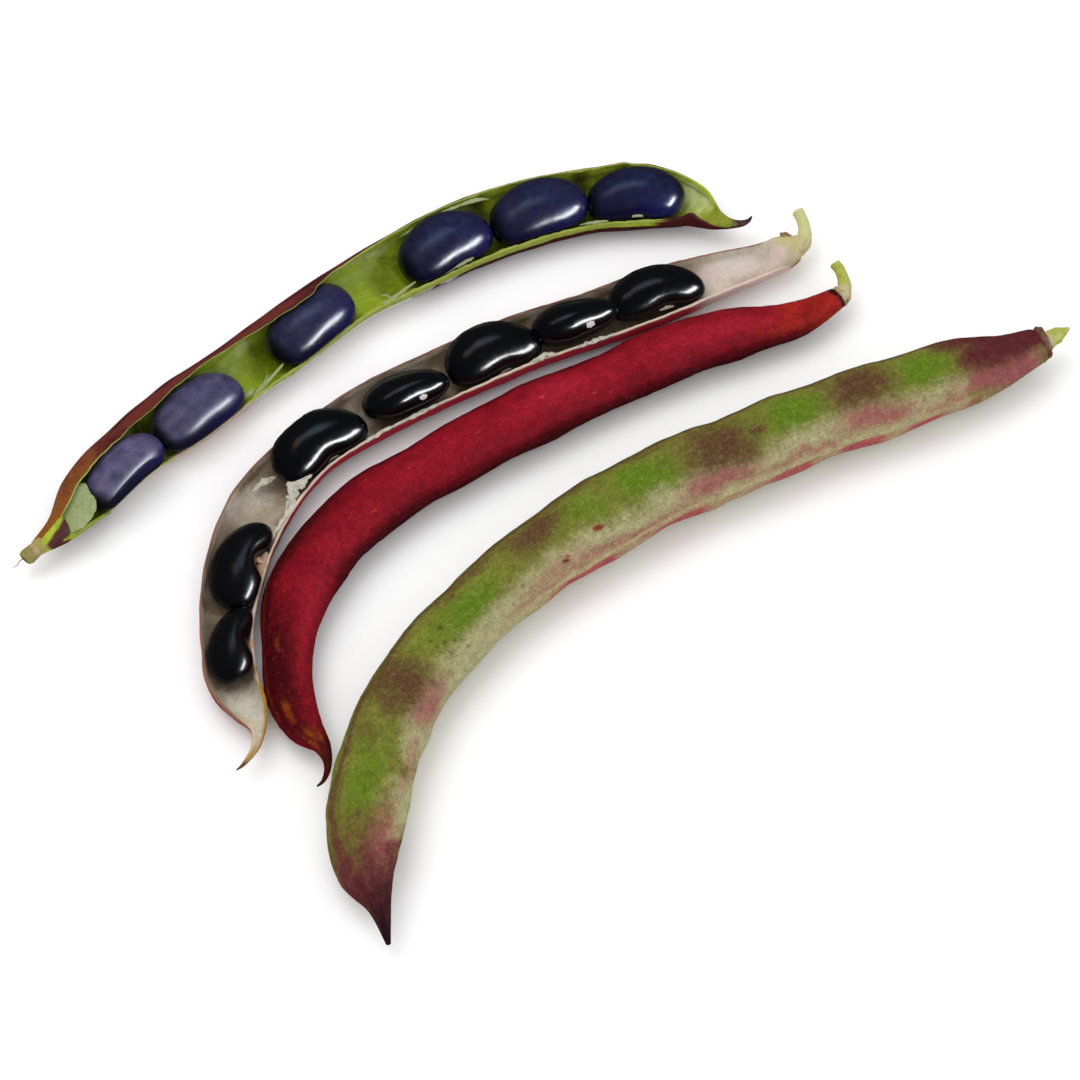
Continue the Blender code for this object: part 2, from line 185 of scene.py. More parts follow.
def smooth(low, high, value):
    """0 below low, 1 above high and an S curve between them."""
    share = np.clip((value - low) / (high - low), 0.0, 1.0)
    return share * share * (3 - 2 * share)


def fade(low, high, value):
    """1 below low and 0 above high."""
    return 1 - smooth(low, high, value)


def band(rise, top, fall, end, value):
    """1 from top to fall, and 0 before rise and after end."""
    return smooth(rise, top, value) * fade(fall, end, value)


def bell(middle, reach, value):
    """1 at the middle and softly less to both sides."""
    return np.exp(-(((value - middle) / reach) ** 2))


def mix(start, end, share):
    return start + (end - start) * share


def powered(value):
    return np.sign(value) * np.abs(value) ** (2 / SECTION_POWER)


def profile(stations, distance):
    """A value read smoothly from (distance, value) stations."""
    marks, values = np.array(stations, float).T
    i = np.clip(np.searchsorted(marks, distance, "right") - 1, 0, len(marks) - 2)
    share = smooth(0, 1, (distance - marks[i]) / (marks[i + 1] - marks[i]))
    return mix(values[i], values[i + 1], share)


class Line:
    """A smooth line through stations, whose first columns are its coordinates."""

    def __init__(self, stations, coordinates=2):
        self.rows = np.array(stations, float)
        steps = np.linalg.norm(np.diff(self.rows[:, :coordinates], axis=0), axis=1)
        self.marks = np.concatenate(([0.0], np.cumsum(steps)))
        self.length = float(self.marks[-1])
        self.slopes = np.gradient(self.rows, self.marks, axis=0)

    def at(self, distance):
        """The rows of numbers at these distances from the start, and their rates of change."""
        distance = np.asarray(distance, float)
        i = np.clip(np.searchsorted(self.marks, distance, "right") - 1, 0, len(self.marks) - 2)
        span = (self.marks[i + 1] - self.marks[i])[..., None]
        t = (distance - self.marks[i])[..., None] / span
        start, end = self.rows[i], self.rows[i + 1]
        leave, arrive = self.slopes[i] * span, self.slopes[i + 1] * span
        row = (
            (2 * t**3 - 3 * t**2 + 1) * start
            + (t**3 - 2 * t**2 + t) * leave
            + (3 * t**2 - 2 * t**3) * end
            + (t**3 - t**2) * arrive
        )
        rate = (
            (6 * t**2 - 6 * t) * (start - end)
            + (3 * t**2 - 4 * t + 1) * leave
            + (3 * t**2 - 2 * t) * arrive
        ) / span
        return row, rate

    def beside(self, distance, across, height):
        """Points this far along, this far to the left and this high, on or above the table."""
        row, rate = self.at(distance)
        heading = np.arctan2(rate[..., 1], rate[..., 0])
        x = row[..., 0] - across * np.sin(heading)
        y = row[..., 1] + across * np.cos(heading)
        return np.stack(np.broadcast_arrays(x, y, np.maximum(height, 0.0)), axis=-1)

    def half_width(self, distance):
        """Half the pod's width, rounded off to nothing at both ends."""
        half = self.at(distance)[0][..., 2] / 2
        for end, gone in ((0, distance), (-1, self.length - distance)):
            cap = max(self.rows[end, 2] * END_ROUND, 0.3)
            half = half * np.sqrt(np.clip(1 - (1 - np.clip(gone / cap, 0, 1)) ** 2, 0, 1))
        return half


class Ripple:
    """Smooth seeded noise of about one size in space, with values mostly between -1 and 1."""

    def __init__(self, seed, size, waves=22):
        draw = np.random.default_rng(seed)
        heading = draw.normal(size=(waves, 3))
        heading /= np.linalg.norm(heading, axis=1)[:, None]
        self.reach = heading * (math.tau / (size * draw.uniform(0.7, 1.9, waves)))[:, None]
        self.phase = draw.uniform(0, math.tau, waves)

    def __call__(self, along, across=0.0, up=0.0):
        total = 0.0
        for (a, b, c), phase in zip(self.reach, self.phase):
            total = total + np.sin(a * along + b * across + c * up + phase)
        return total * math.sqrt(1.0 / len(self.phase))


def wander(seed, waves, along, around, scale=DEGREES_PER_MM):
    """A sum of ripples over a pod's skin, from waves of these heights and sizes."""
    return sum(
        height * Ripple(seed + number, size)(along, around / scale)
        for number, (height, size) in enumerate(waves)
    )


def spots(along, around, rows):
    """Soft oval patches: the middle along and around, the half sizes and the strength of each."""
    total = np.zeros(np.broadcast(along, around).shape)
    for middle, angle, reach, spread, strength in rows:
        far = np.hypot((along - middle) / reach, (around - angle) / spread)
        total = np.maximum(total, strength * np.exp(-1.4 * far**2.4))
    return total


def capped(grid):
    """Points and faces of a closed skin over rings of points, with a middle point at each end."""
    rings, sides = grid.shape[:2]
    points = np.concatenate([grid.reshape(-1, 3), [grid[0].mean(axis=0), grid[-1].mean(axis=0)]])
    ring = np.arange(rings - 1)[:, None] * sides
    side = np.arange(sides)[None, :]
    after = (side + 1) % sides
    quads = np.stack([ring + side, ring + after, ring + sides + after, ring + sides + side], -1)
    faces = quads.reshape(-1, 4).tolist()
    first, last, end = rings * sides, rings * sides + 1, (rings - 1) * sides
    for j in range(sides):
        after = (j + 1) % sides
        faces += [[first, after, j], [last, end + j, end + after]]
    return points, faces


def make_piece(name, points, faces, paints, material):
    """An object from points in millimetres, with its faces turned to the outside."""
    halves = [face[:3] for face in faces] + [[f[0], f[2], f[3]] for f in faces if len(f) == 4]
    triangles = np.array(halves)
    a, b, c = (points[triangles[:, k]] for k in range(3))
    if np.einsum("ij,ij->i", a, np.cross(b, c)).sum() < 0:
        faces = [face[::-1] for face in faces]
    mesh = bpy.data.meshes.new(name)
    mesh.from_pydata((points * MM).tolist(), [], faces)
    mesh.shade_smooth()
    for label, values in paints.items():
        field = mesh.attributes.new(label, "FLOAT", "POINT")
        field.data.foreach_set("value", np.asarray(values, np.float32).ravel())
    mesh.materials.append(material)
    piece = bpy.data.objects.new(name, mesh)
    bpy.context.scene.collection.objects.link(piece)
    return piece


def tube(name, grid, paints, material):
    """A piece of one closed skin, with the paint of its end rings carried on to their middles."""
    points, faces = capped(grid)
    full = {}
    for label, values in paints.items():
        values = np.broadcast_to(values, grid.shape[:2])
        full[label] = np.concatenate([values.ravel(), [values[0].mean(), values[-1].mean()]])
    return make_piece(name, points, faces, full, material)


def ring_places(length, rings):
    """Distances along a piece, closer together at its two ends."""
    share = np.linspace(0, 1, rings)
    bowed = (1 - np.cos(math.pi * share)) / 2
    return length * mix(share, bowed, END_CROWDING)


def rgb(red, green, blue):
    """A colour given as it looks on a screen, in the linear values that shaders take."""
    values = [value / 255 for value in (red, green, blue)]
    linear = [v / 12.92 if v <= 0.04045 else ((v + 0.055) / 1.055) ** 2.4 for v in values]
    return (*linear, 1.0)


DOT_COLOUR = rgb(42, 62, 12)
# The near black of the painted shade on a bean's left end and underside.
LIMB_SHADE_COLOUR = rgb(3, 2, 9)
EYE_RING_COLOUR = rgb(14, 10, 12)
VEIN_STRETCH = 5.0


class Recipe:
    """A node material made with short calls. Sizes are in millimetres."""

    def __init__(self, name):
        self.material = bpy.data.materials.new(name)
        self.material.use_nodes = True
        self.tree = self.material.node_tree
        self.place = self.add("ShaderNodeTexCoord", {})["Object"]

    def fill(self, node, inputs):
        """Links or values for a node's inputs, by their names or numbers."""
        for key, value in inputs.items():
            if isinstance(value, bpy.types.NodeSocket):
                self.tree.links.new(value, node.inputs[key])
            else:
                node.inputs[key].default_value = value

    def add(self, kind, inputs, **settings):
        """The outputs of a new node."""
        node = self.tree.nodes.new(kind)
        for key, value in settings.items():
            setattr(node, key, value)
        self.fill(node, inputs)
        return node.outputs

    def field(self, label):
        """A value painted on the mesh."""
        return self.add("ShaderNodeAttribute", {}, attribute_name=label)["Fac"]

    def noise(self, size, detail=3.0, harsh=0.55, at=None):
        scale = 1 / (size * MM)
        inputs = {"Vector": at or self.place, "Scale": scale, "Detail": detail, "Roughness": harsh}
        return self.add("ShaderNodeTexNoise", inputs)[0]

    def maths(self, operation, first, second):
        return self.add("ShaderNodeMath", {0: first, 1: second}, operation=operation)[0]

    def times(self, first, second):
        return self.maths("MULTIPLY", first, second)

    def ramp(self, value, low, high, start=0.0, end=1.0):
        """The value led smoothly from start to end between low and high."""
        inputs = dict(enumerate((value, low, high, start, end)))
        return self.add("ShaderNodeMapRange", inputs, interpolation_type="SMOOTHSTEP")[0]

    def over(self, below, above, share):
        """One colour laid over another."""
        return self.add("ShaderNodeMix", {0: share, 6: below, 7: above}, data_type="RGBA")[2]

    def shade(self, colour, amount, size, detail=4.0, at=None):
        """The colour made lighter and darker by a noise."""
        value = self.ramp(self.noise(size, detail, 0.6, at), 0.25, 0.75, 1 - amount, 1 + amount)
        plain = colour[:3] if isinstance(colour, tuple) else colour
        return self.add("ShaderNodeVectorMath", {0: plain, "Scale": value}, operation="SCALE")[0]

    def coat(self, below, label, tint, grain, broken, crisp):
        """A tint over a colour where the mesh is painted, with an edge broken up by noise."""
        weight = self.field(label)
        drift = self.times(self.maths("SUBTRACT", self.noise(grain, 5.0, 0.65), 0.5), broken)
        share = self.ramp(self.maths("ADD", weight, drift), crisp, 1 - crisp)
        share = self.times(share, self.ramp(weight, 0.0, 0.15))
        return self.over(below, tint, share)

    def coats(self, colour, rows):
        """Tints laid over a colour in turn: label, red, green, blue, grain, broken and crisp."""
        for label, red, green, blue, *edge in rows:
            colour = self.coat(colour, label, rgb(red, green, blue), *edge)
        return colour

    def bump(self, height, depth, under=None):
        inputs = {"Height": height, "Distance": depth * MM, "Strength": 1.0}
        if under is not None:
            inputs["Normal"] = under
        return self.add("ShaderNodeBump", inputs)[0]

    def along_pod(self, stretch):
        """Coordinates that run along the pod, stretched, and round its section, in metres."""
        along, arc = (self.times(self.field(label), MM) for label in ("along", "arc"))
        run = self.add("ShaderNodeCombineXYZ", {0: along, 1: arc})[0]
        scale = (1 / stretch, 1.0, 1.0)
        return self.add("ShaderNodeVectorMath", {0: run, 1: scale}, operation="MULTIPLY")[0]

    def done(self, colour, roughness, normal=None, specular=0.5, flesh=0.0):
        inputs = {
            "Base Color": colour, "Roughness": roughness, "Specular IOR Level": specular,
            "Subsurface Weight": flesh, "Subsurface Radius": FLESH_SPREAD,
            "Subsurface Scale": FLESH_DEPTH * MM,
        }
        if normal is not None:
            inputs["Normal"] = normal
        self.fill(self.tree.nodes["Principled BSDF"], inputs)
        return self.material


def skin_finish(name, colour, coats, clouds, roughness, veins, specular, grain, cloud_field="",
                flesh=0.0, dots=False):
    """A pod's finish: a mottled skin with fine veins that run slanting along the pod."""
    recipe = Recipe(name)
    tone = recipe.coats(recipe.shade(colour, 0.16, 5.0), coats)
    if dots:
        tone = recipe.over(tone, DOT_COLOUR, recipe.times(recipe.field("dots"), 0.85))
    for red, green, blue, size, low, high, strength in clouds:
        veil = recipe.ramp(recipe.noise(size, 4.0, 0.6), low, high, 0.0, strength)
        if cloud_field:
            veil = recipe.times(veil, recipe.field(cloud_field))
        tone = recipe.over(tone, rgb(red, green, blue), veil)
    tone = recipe.shade(tone, grain, 0.45, 5.0)
    tone = recipe.shade(tone, grain * 0.7, 1.6)
    run = recipe.along_pod(VEIN_STRETCH)
    fibres = recipe.noise(0.55, 3.0, 0.6, at=run)
    tone = recipe.shade(tone, veins, 0.7, at=run)
    rough = recipe.ramp(recipe.noise(1.2), 0.3, 0.7, roughness - 0.06, roughness + 0.08)
    normal = recipe.bump(fibres, 0.04)
    normal = recipe.bump(recipe.noise(0.5, 4.0), 0.05, normal)
    return recipe.done(tone, rough, normal, specular, flesh)


def closed_grid(line, pod, rough_seed):
    """Rings of points of a whole pod, and what its paint is laid out by."""
    distance = ring_places(line.length, POD_RINGS)[:, None]
    degrees = np.arange(CLOSED_SIDES)[None, :] * 360 / CLOSED_SIDES
    angle = np.radians(degrees)
    half = line.half_width(distance)
    first, last, count = pod["seeds"]
    pitch = (last - first) / (count - 1)
    seeds = band(first - pitch, first, last, last + pitch, distance)
    wave = np.cos(math.tau * (distance - first) / pitch + 0.5 * Ripple(rough_seed, 60)(distance))
    full = smooth(0, 4.0, half)
    seam = np.minimum(np.abs(degrees), np.abs(degrees - 360))
    ridge = bell(0, 5.0, seam) + bell(180, 5.0, degrees)
    groove = bell(180, 1.8, degrees) * 0.4
    across = (half + 0.5 * full * (ridge - groove)) * np.cos(angle)
    up = half * pod["flatness"] * (1 + pod["swell"] * seeds * wave) * np.sin(angle)
    lumps = Ripple(rough_seed + 1, 9)(distance, across, up) * 0.13
    lumps = lumps + Ripple(rough_seed + 2, 3)(distance, across, up) * 0.04
    dimple = 0.22 * seeds * wave * np.abs(np.sin(angle)) ** 0.5
    grow = 1 + full * (lumps + dimple) / np.maximum(half, 1.0)
    across, up = across * grow, up * grow
    roll = math.radians(pod["roll"])
    turned = across * math.cos(roll) + up * math.sin(roll)
    lifted = up * math.cos(roll) - across * math.sin(roll)
    points = line.beside(distance, turned, pod["height"] + lifted)
    arc = half * angle * (1 + pod["flatness"]) / 2
    return points, distance, np.broadcast_to(degrees, points.shape[:2]), arc


def presence(beans, distance):
    """1 where a bean lies at this distance along the pod and 0 between beans."""
    total = np.zeros_like(distance)
    for row in beans:
        reach = row[2] / 2
        total = np.maximum(total, fade(reach - 2.5, reach + 1.5, np.abs(distance - row[0])))
    return total


def section(pod, half, angle, inset):
    """Across and up to an opened pod's skin, this far inside it."""
    share = np.where(np.sin(angle) < 0, pod["depth"], pod["crown"])
    across = np.maximum(half - inset, 0.0) * powered(np.cos(angle))
    up = np.maximum(2 * half * share - inset, 0.0) * powered(np.sin(angle))
    return across, up


def open_grid(line, pod):
    """Rings of points of an opened pod: outer skin, far rim, lining and near rim in turn.

    With them come, for the paint: the distance along, the degrees round, the degrees as if the
    pod were closed, 1 on the lining, 1 on the rim, the depth in the wall, 1 between beans, the
    degrees from the lip and the arc round the section.
    """
    seed, ragged, growth, lip_share = (pod[key] for key in ("seed", "ragged", "growth", "lip_share"))
    distance = ring_places(line.length, POD_RINGS)[:, None]
    half = line.half_width(distance)
    empty = 1 - presence(pod["beans"], distance)
    far, near = (profile(lip, distance) for lip in pod["lips"])
    far = far + ragged * (Ripple(seed, 3.2)(distance) + 0.5 * Ripple(seed + 1, 1.1)(distance))
    near = near + ragged * (Ripple(seed + 2, 3.6)(distance) + 0.6 * Ripple(seed + 3, 1.2)(distance))
    start, end = 180 - near, 360 + far

    rim = np.linspace(0, 1, RIM_SIDES + 2)[1:-1]
    outer, inner = np.linspace(0, 1, OUTER_SIDES), np.linspace(1, 0, INNER_SIDES)
    share = np.concatenate([outer, np.ones(RIM_SIDES), inner, np.zeros(RIM_SIDES)])[None, :]
    depth = np.concatenate([0 * outer, rim, 0 * inner + 1, rim[::-1]])[None, :]
    on_rim = np.concatenate([0 * outer, rim * 0 + 1, 0 * inner, rim * 0 + 1])[None, :]
    side = np.concatenate([0 * outer, rim * 0, 0 * inner + 1, rim * 0])[None, :]

    degrees = mix(start, end, share)
    from_lip = np.minimum(degrees - start, end - degrees)
    thicker = np.where(share > 0.5, profile(growth[0], distance), profile(growth[1], distance))
    wall = pod["wall"] + thicker * fade(0, 30, from_lip) * mix(0.25, 1.0, empty)
    wall = wall * mix(np.where(share > 0.5, lip_share[0], lip_share[1]), 1.0, smooth(0, 16, from_lip))
    wall = np.minimum(wall, 0.33 * half + 0.05)
    bulge = on_rim * np.sin(math.pi * depth) * wall / 2 / np.maximum(half, 1.0)
    angle = np.radians(degrees) + bulge * np.where(share > 0.5, 1, -1)
    across, up = section(pod, half, angle, depth * wall)

    first, last, ease_in, ease_out = pod["mouth"]
    opening = band(first, first + ease_in, last - ease_out, last, distance)
    floor = pod["wall"] - pod["height"]
    lining = side * opening
    saddle = 0.9 * empty * (0.5 + 0.5 * Ripple(seed + 4, 14)(distance, across, up))
    deep = np.clip(-np.sin(angle), 0, 1) * lining
    up = np.where(side > 0, np.maximum(up, floor), up) + saddle * deep
    coarse, fine = (Ripple(seed + step, size)(distance, across, up) for step, size in ((5, 5), (6, 1.7)))
    inward = side * smooth(0, 3, half) * (coarse * 0.14 + fine * 0.05 - 0.05)
    across, up = across * (1 - inward / np.maximum(half, 1)), up * (1 - inward / np.maximum(half, 1))
    outside = (1 - side) * (1 - on_rim) * smooth(0, 4, half) / np.maximum(half, 1)
    dents = Ripple(seed + 7, 8)(distance, across, up) * 0.10 * outside
    across, up = across * (1 + dents), up * (1 + dents)

    lid_degrees = mix(180 - near, far, share)
    lid_across, lid_up = section(pod, half, np.radians(lid_degrees), 0.0)
    closed = (side + on_rim * depth) * (1 - opening)
    across, up = mix(across, lid_across, closed), mix(up, lid_up, closed)
    points = line.beside(distance, across, pod["height"] + up)
    arc = half * np.radians(degrees)
    lay = (distance, degrees, lid_degrees, side, on_rim, depth, empty, from_lip, arc)
    return points, [np.broadcast_to(value, points.shape[:2]) for value in lay]


def lip_height(pod, half, degrees):
    """How high over the seam an opened pod's skin stops, for this many degrees past the seam."""
    angle = np.radians(degrees)
    share = np.where(angle < 0, pod["depth"], pod["crown"])
    return 2 * half * share * powered(np.sin(angle))


def bean_grid(line, pod, row):
    """Rings of points of a kidney of a seed that lies along its pod, with its eye to the near seam."""
    middle, offset, length, width, thickness, roll_degrees, skew_degrees, dent_depth = row[:8]
    bend, fuller, shift, eye_angle, eye_length, eye_spread, eye_share = row[9:]
    roll = math.radians(roll_degrees)
    skew = math.tan(math.radians(skew_degrees))
    half_height = math.hypot(thickness * math.cos(roll), width * math.sin(roll)) / 2
    depth = line.at(middle)[0][2] * pod["depth"]
    floor = max(pod["height"] - depth, 0.0) + pod["wall"]
    rest = floor + GAP + half_height
    turn = np.linspace(BEAN_END, math.pi - BEAN_END, BEAN_RINGS)[:, None]
    along = length / 2 * np.cos(turn)
    girth = np.sin(turn) ** pod["bluntness"] * (1 + fuller * 2 * along / length)
    degrees = (np.arange(BEAN_SIDES) * 360 / BEAN_SIDES)[None, :]
    angle = np.radians(degrees)
    across = width / 2 * girth * np.cos(angle) - bend * (2 * along / length) ** 2
    facing = np.clip(-np.cos(angle), 0, 1)
    dent = bell(shift, EYE_REACH, along) * facing**EYE_FOCUS
    across = across + dent_depth * dent + bend / 2
    if middle == FAR_HOLLOW[0]:
        hollow = bell(FAR_HOLLOW[1], FAR_HOLLOW[2], along)
        across = across - FAR_HOLLOW[3] * hollow * np.clip(np.cos(angle), 0, 1) ** 2
    up = thickness / 2 * girth * np.sin(angle)
    uneven = Ripple(int(middle), 9)(along, across, up) * 0.10
    up, across = up * (1 + uneven / thickness), across * (1 + uneven / width)
    turned = across * math.cos(roll) + up * math.sin(roll) + offset + skew * along
    lifted = up * math.cos(roll) - across * math.sin(roll)
    distance = middle + along
    half = line.at(distance)[0][..., 2] / 2
    inset = pod["wall"] + GAP
    height = rest + lifted - pod["height"]
    far_top, near_top = (lip_height(pod, half, profile(lip, distance)) for lip in pod["lips"])
    clear = smooth(0.0, RELEASE, height - mix(near_top, far_top, smooth(-1.5, 1.5, turned)))
    beside_room = half - inset * (1 - 0.9 * clear)
    above_room = mix(2 * half * pod["crown"] - inset, 2 * half, clear)
    upright_room = np.where(height < 0, 2 * half * pod["depth"] - inset, above_room)
    reach = (
        (np.abs(turned) / beside_room) ** SECTION_POWER + (np.abs(height) / upright_room) ** SECTION_POWER
    ) ** (1 / SECTION_POWER)
    scale = 1 / np.maximum(reach, 1.0)
    turned, height = turned * scale, height * scale
    points = line.beside(distance, turned, np.maximum(pod["height"] + height, inset))
    far = np.hypot((along - shift) / eye_length, (degrees - eye_angle) / eye_spread)
    paints = {
        "eye": eye_share * fade(0.8, 1.05, far),
        "eye_ring": eye_share * fade(1.2, 1.8, far),
        "upper": fade(112, 168, degrees) + smooth(300, 360, degrees),
        "tip_end": along / length + 0.5,
        # Painted sheen: a soft light band along the top of each bean, a little towards its far side.
        "painted_sheen": bell(84, 36, degrees) * np.sin(turn) ** 2,
        # Painted shade: near black over the left end and under the bean.
        "painted_limb_shade": np.maximum(
            0.8 * fade(0, 0.18, along / length + 0.5) * smooth(20, 60, degrees),
            0.7 * band(172, 196, 300, 330, degrees)),
        # The near side where the blue shows; off this band the bean keeps the colour of its painted shade.
        "lower_light": band(60, 150, 196, 226, degrees),
        "pallor": row[8],
    }
    return points, paints


def stalk_grid(stations, lobes, lobe_depth, reach, seed):
    """Rings of points of a short ribbed stalk with the lobes of the flower's cup at its foot."""
    line = Line(stations, coordinates=3)
    share = np.linspace(0, 1, STALK_RINGS)[:, None]
    row, rate = line.at(line.length * share)
    forward = rate[..., :3] / np.linalg.norm(rate[..., :3], axis=-1, keepdims=True)
    left = np.cross((0.0, 0.0, 1.0), forward)
    left /= np.linalg.norm(left, axis=-1, keepdims=True)
    angle = (np.arange(STALK_SIDES) * math.tau / STALK_SIDES)[None, :]
    spoke = left * np.cos(angle)[..., None] + np.cross(forward, left) * np.sin(angle)[..., None]
    cup = lobe_depth * np.cos(lobes * angle) * fade(0, reach, share)
    ribs = 0.03 * np.cos(9 * angle + 3 * share)
    thick = row[..., 3]
    lumps = 0.05 * Ripple(seed, 2.0)(line.length * share, thick * np.cos(angle), thick * np.sin(angle))
    radius = thick * (1 + cup + ribs + lumps)
    for gone, end in ((1 - share, 0.35), (share, 0.5)):
        rounding = 1 - (1 - np.clip(gone * line.length / end, 0, 1)) ** 2
        radius = radius * np.maximum(np.sqrt(np.clip(rounding, 0, 1)), 0.02)
    return row[..., :3] + radius[..., None] * spoke, share


# Soft patches of paint, here and below: middle along the pod, middle round it in degrees, half
# sizes along and round, and strength.
VIOLET_PATCHES = {
    "neck": ((7.8, 118, 2.6, 26, 1), (6, 134, 3, 36, 1.2), (4, 152, 2.6, 40, 1.2)),
    # Painted shade in the bottom of the hollow, beside the beans.
    "deep": ((110.5, 272, 5, 66, 0.9), (73, 266, 4.5, 60, 0.85)),
    # Painted shade between the beans.
    "gap": (
        (39.6, 330, 3.2, 70, 0.8), (139.2, 340, 3.2, 70, 0.85), (164, 340, 3, 70, 0.9),
        (113.4, 330, 2.2, 60, 0.5), (73.6, 320, 2.2, 60, 0.5),
    ),
    "pale": (
        (67, 385, 6, 30, 0.9), (71.5, 340, 4, 30, 0.6), (104, 380, 7, 26, 0.9), (112, 360, 6, 30, 0.7),
        (190, 330, 7, 70, 0.8), (64, 300, 5, 24, 0.4), (107, 210, 5, 30, 0.5), (140, 386, 6, 16, 0.8),
    ),
    "pale_end": ((189, 60, 6, 50, 0.7),),
}
# How far round the pod its flesh shows before the maroon skin, near the beak.
VIOLET_PEAK = (
    (0, 400), (183, 400), (186, 178), (190, 176), (191.6, 160), (193.4, 128), (195, 150),
    (198, 172), (200.5, 176), (202, 150), (203.4, 90), (206, 0),
)
# Coats of paint, here and below: label, red, green, blue, size of the noise that breaks up the
# edge, how broken and how crisp the edge is.
VIOLET_COATS = (
    # Painted shade in the hollow.
    ("deep", 106, 120, 3, 6, 0.4, 0),
    # Painted shade between the beans.
    ("gap", 62, 60, 6, 4, 0.5, 0),
    ("pale", 196, 205, 142, 1.6, 0.9, 0.1),
    ("flesh_end", 128, 134, 34, 2, 0.5, 0.1),
    ("rim", 152, 164, 66, 1.2, 0.9, 0.1),
    ("skin", 72, 17, 18, 1.2, 0.5, 0.25),
    ("streak", 100, 38, 30, 1, 1, 0.1),
    ("lit_edge", 100, 38, 30, 3, 0.6, 0.1),
    ("olive", 128, 74, 22, 4, 0.7, 0),
    ("bare", 212, 210, 204, 3, 0.3, 0.2),
    ("tan", 196, 172, 158, 5, 0.6, 0.1),
    ("ventral", 146, 160, 62, 1.2, 0.7, 0.2),
    ("lime", 142, 164, 34, 3, 0.4, 0.2),
    ("purple", 82, 36, 36, 1.2, 0.4, 0.25),
    ("beak", 74, 34, 40, 2, 0.4, 0.1),
    ("tip", 32, 22, 28, 1, 0.3, 0.1),
    ("stub", 158, 140, 84, 1, 0.6, 0.2),
)
# Clouds, here and below: red, green, blue, size, where the noise starts and ends, and strength.
VIOLET_CLOUDS = ((122, 142, 14, 3, 0.45, 0.75, 0.35), (186, 198, 108, 1.2, 0.52, 0.75, 0.3))


def violet_pod(line):
    """Maroon outside, lime-green flesh inside, with a beak going from deep maroon to near black at its right
    end, and painted shade in the hollow and between the beans.
    """
    points, (s, a, lid, inner, rim, depth, empty, from_lip, arc) = open_grid(line, VIOLET_POD)
    patches = VIOLET_PATCHES
    drift = wander(31, ((4, 12), (2, 3)), s, a)
    outer = (1 - inner) * (1 - rim)
    near_wall = outer * fade(250, 268, a)
    skin = np.maximum(
        outer * smooth(-3, 3, a - 183 + 0.4 * drift),
        inner * smooth(-4, 4, lid - profile(VIOLET_PEAK, s) + 0.5 * drift),
    )
    near_end = smooth(180, 192, s + 0.2 * drift + 5 * (1 - depth))
    skin = np.maximum(skin, (1 - inner) * fade(250, 268, a) * near_end)
    skin = np.where(s > 202.8, 1.0, skin) * smooth(1.5, 3.5, s)
    thin_line = rim * (a > 270) * fade(0.15, 0.5, depth) * band(20, 40, 176, 196, s)
    skin = np.maximum(skin, thin_line)
    falling = mix(184, 172, smooth(150, 190, s))
    neck = inner * spots(s, lid, patches["neck"])
    bare = near_wall * band(20, 30, 112, 128, s + drift)
    under_bean = (1 - outer) * (a < 270) * fade(8, 16, from_lip) * band(36, 44, 58, 66, s)
    cut = np.maximum(rim, outer * fade(0, 5, from_lip) * 0.7)
    paints = {
        "along": s, "arc": arc, "skin": skin,
        # Painted shade: darker in the hollow, most between the beans.
        "deep": inner * np.maximum(
            smooth(0.2, 0.95, -np.sin(np.radians(a))) * (0.3 + 0.7 * (1 - empty)),
            spots(s, a, patches["deep"])),
        # Painted shade between the beans.
        "gap": inner * spots(s, a, patches["gap"]),
        "pale": inner * np.maximum(spots(s, a, patches["pale"]), spots(s, lid, patches["pale_end"])),
        "rim": cut * (1 - thin_line) * fade(182, 191, s) * (1 - 0.9 * (a < 270) * band(22, 34, 58, 66, s)),
        "lime": np.maximum(
            outer * band(4, 8, 22, 34, s) * fade(204, 214, a),
            inner * fade(170, 200, lid) * band(5, 7, 9, 13, s)),
        "ventral": near_wall * fade(falling, falling + 4, a + drift * 0.3) * band(10, 18, 180, 190, s),
        "streak": outer * smooth(-0.1, 0.9, wander(35, ((1, 9), (0.6, 2.4)), s, a, 4)) * smooth(280, 300, a),
        "olive": outer * fade(8, 36, s + drift) * smooth(300, 330, a),
        "lit_edge": outer * bell(420, 14, a) * band(20, 40, 80, 100, s),
        "bare": bare,
        "tan": np.maximum(bare * fade(60, 76, s + drift), under_bean),
        "purple": np.maximum(
            neck, outer * fade(5.5, 7.5, s + 0.2 * drift) * smooth(2, 3.5, s) * fade(215, 235, a)),
        "beak": smooth(199, 204, s),
        "tip": smooth(203.5, 207, s),
        "stub": fade(1.4, 2.6, s + 0.1 * drift),
        "flesh_end": inner * smooth(193, 197, s),
        "lining": np.clip(inner + rim, 0, 1) * (1 - skin) * (1 - neck),
    }
    finish = skin_finish(
        "violet_pod_skin", rgb(158, 177, 42), VIOLET_COATS, VIOLET_CLOUDS, roughness=0.58,
        veins=0.10, specular=0.12, grain=0.09, cloud_field="lining", flesh=0.1,
    )
    return tube("violet_pod_skin", points, paints, finish)


PALE_PATCHES = {
    "pale": (
        (76, 300, 5, 50, 0.5), (70, 350, 4, 30, 0.7), (206, 320, 10, 80, 0.8), (198, 250, 6, 50, 0.6),
        (18, 270, 9, 100, 0.7), (66, 230, 5, 40, 0.5), (108, 290, 3, 50, 0.4),
    ),
    # Painted shade: browner patches on the lining where it lies in shade.
    "brown": (
        (78, 352, 6, 30, 0.8), (72, 215, 5, 40, 0.6), (104, 350, 4, 30, 0.7), (128, 340, 5, 40, 0.7),
        (45, 340, 3, 40, 0.7), (151, 345, 4, 50, 0.7), (172, 345, 4, 50, 0.7), (80, 270, 6, 50, 0.5),
    ),
    "pink": ((202, 290, 14, 60, 0.6), (214, 250, 6, 50, 0.6)),
    "mustard": ((9, 165, 7, 45, 0.9), (4, 120, 4, 90, 0.8)),
    "end_fleck": ((219, 186, 1.6, 12, 1),),
    "side_fleck": ((128, 183, 3.4, 6, 0.6),),
}
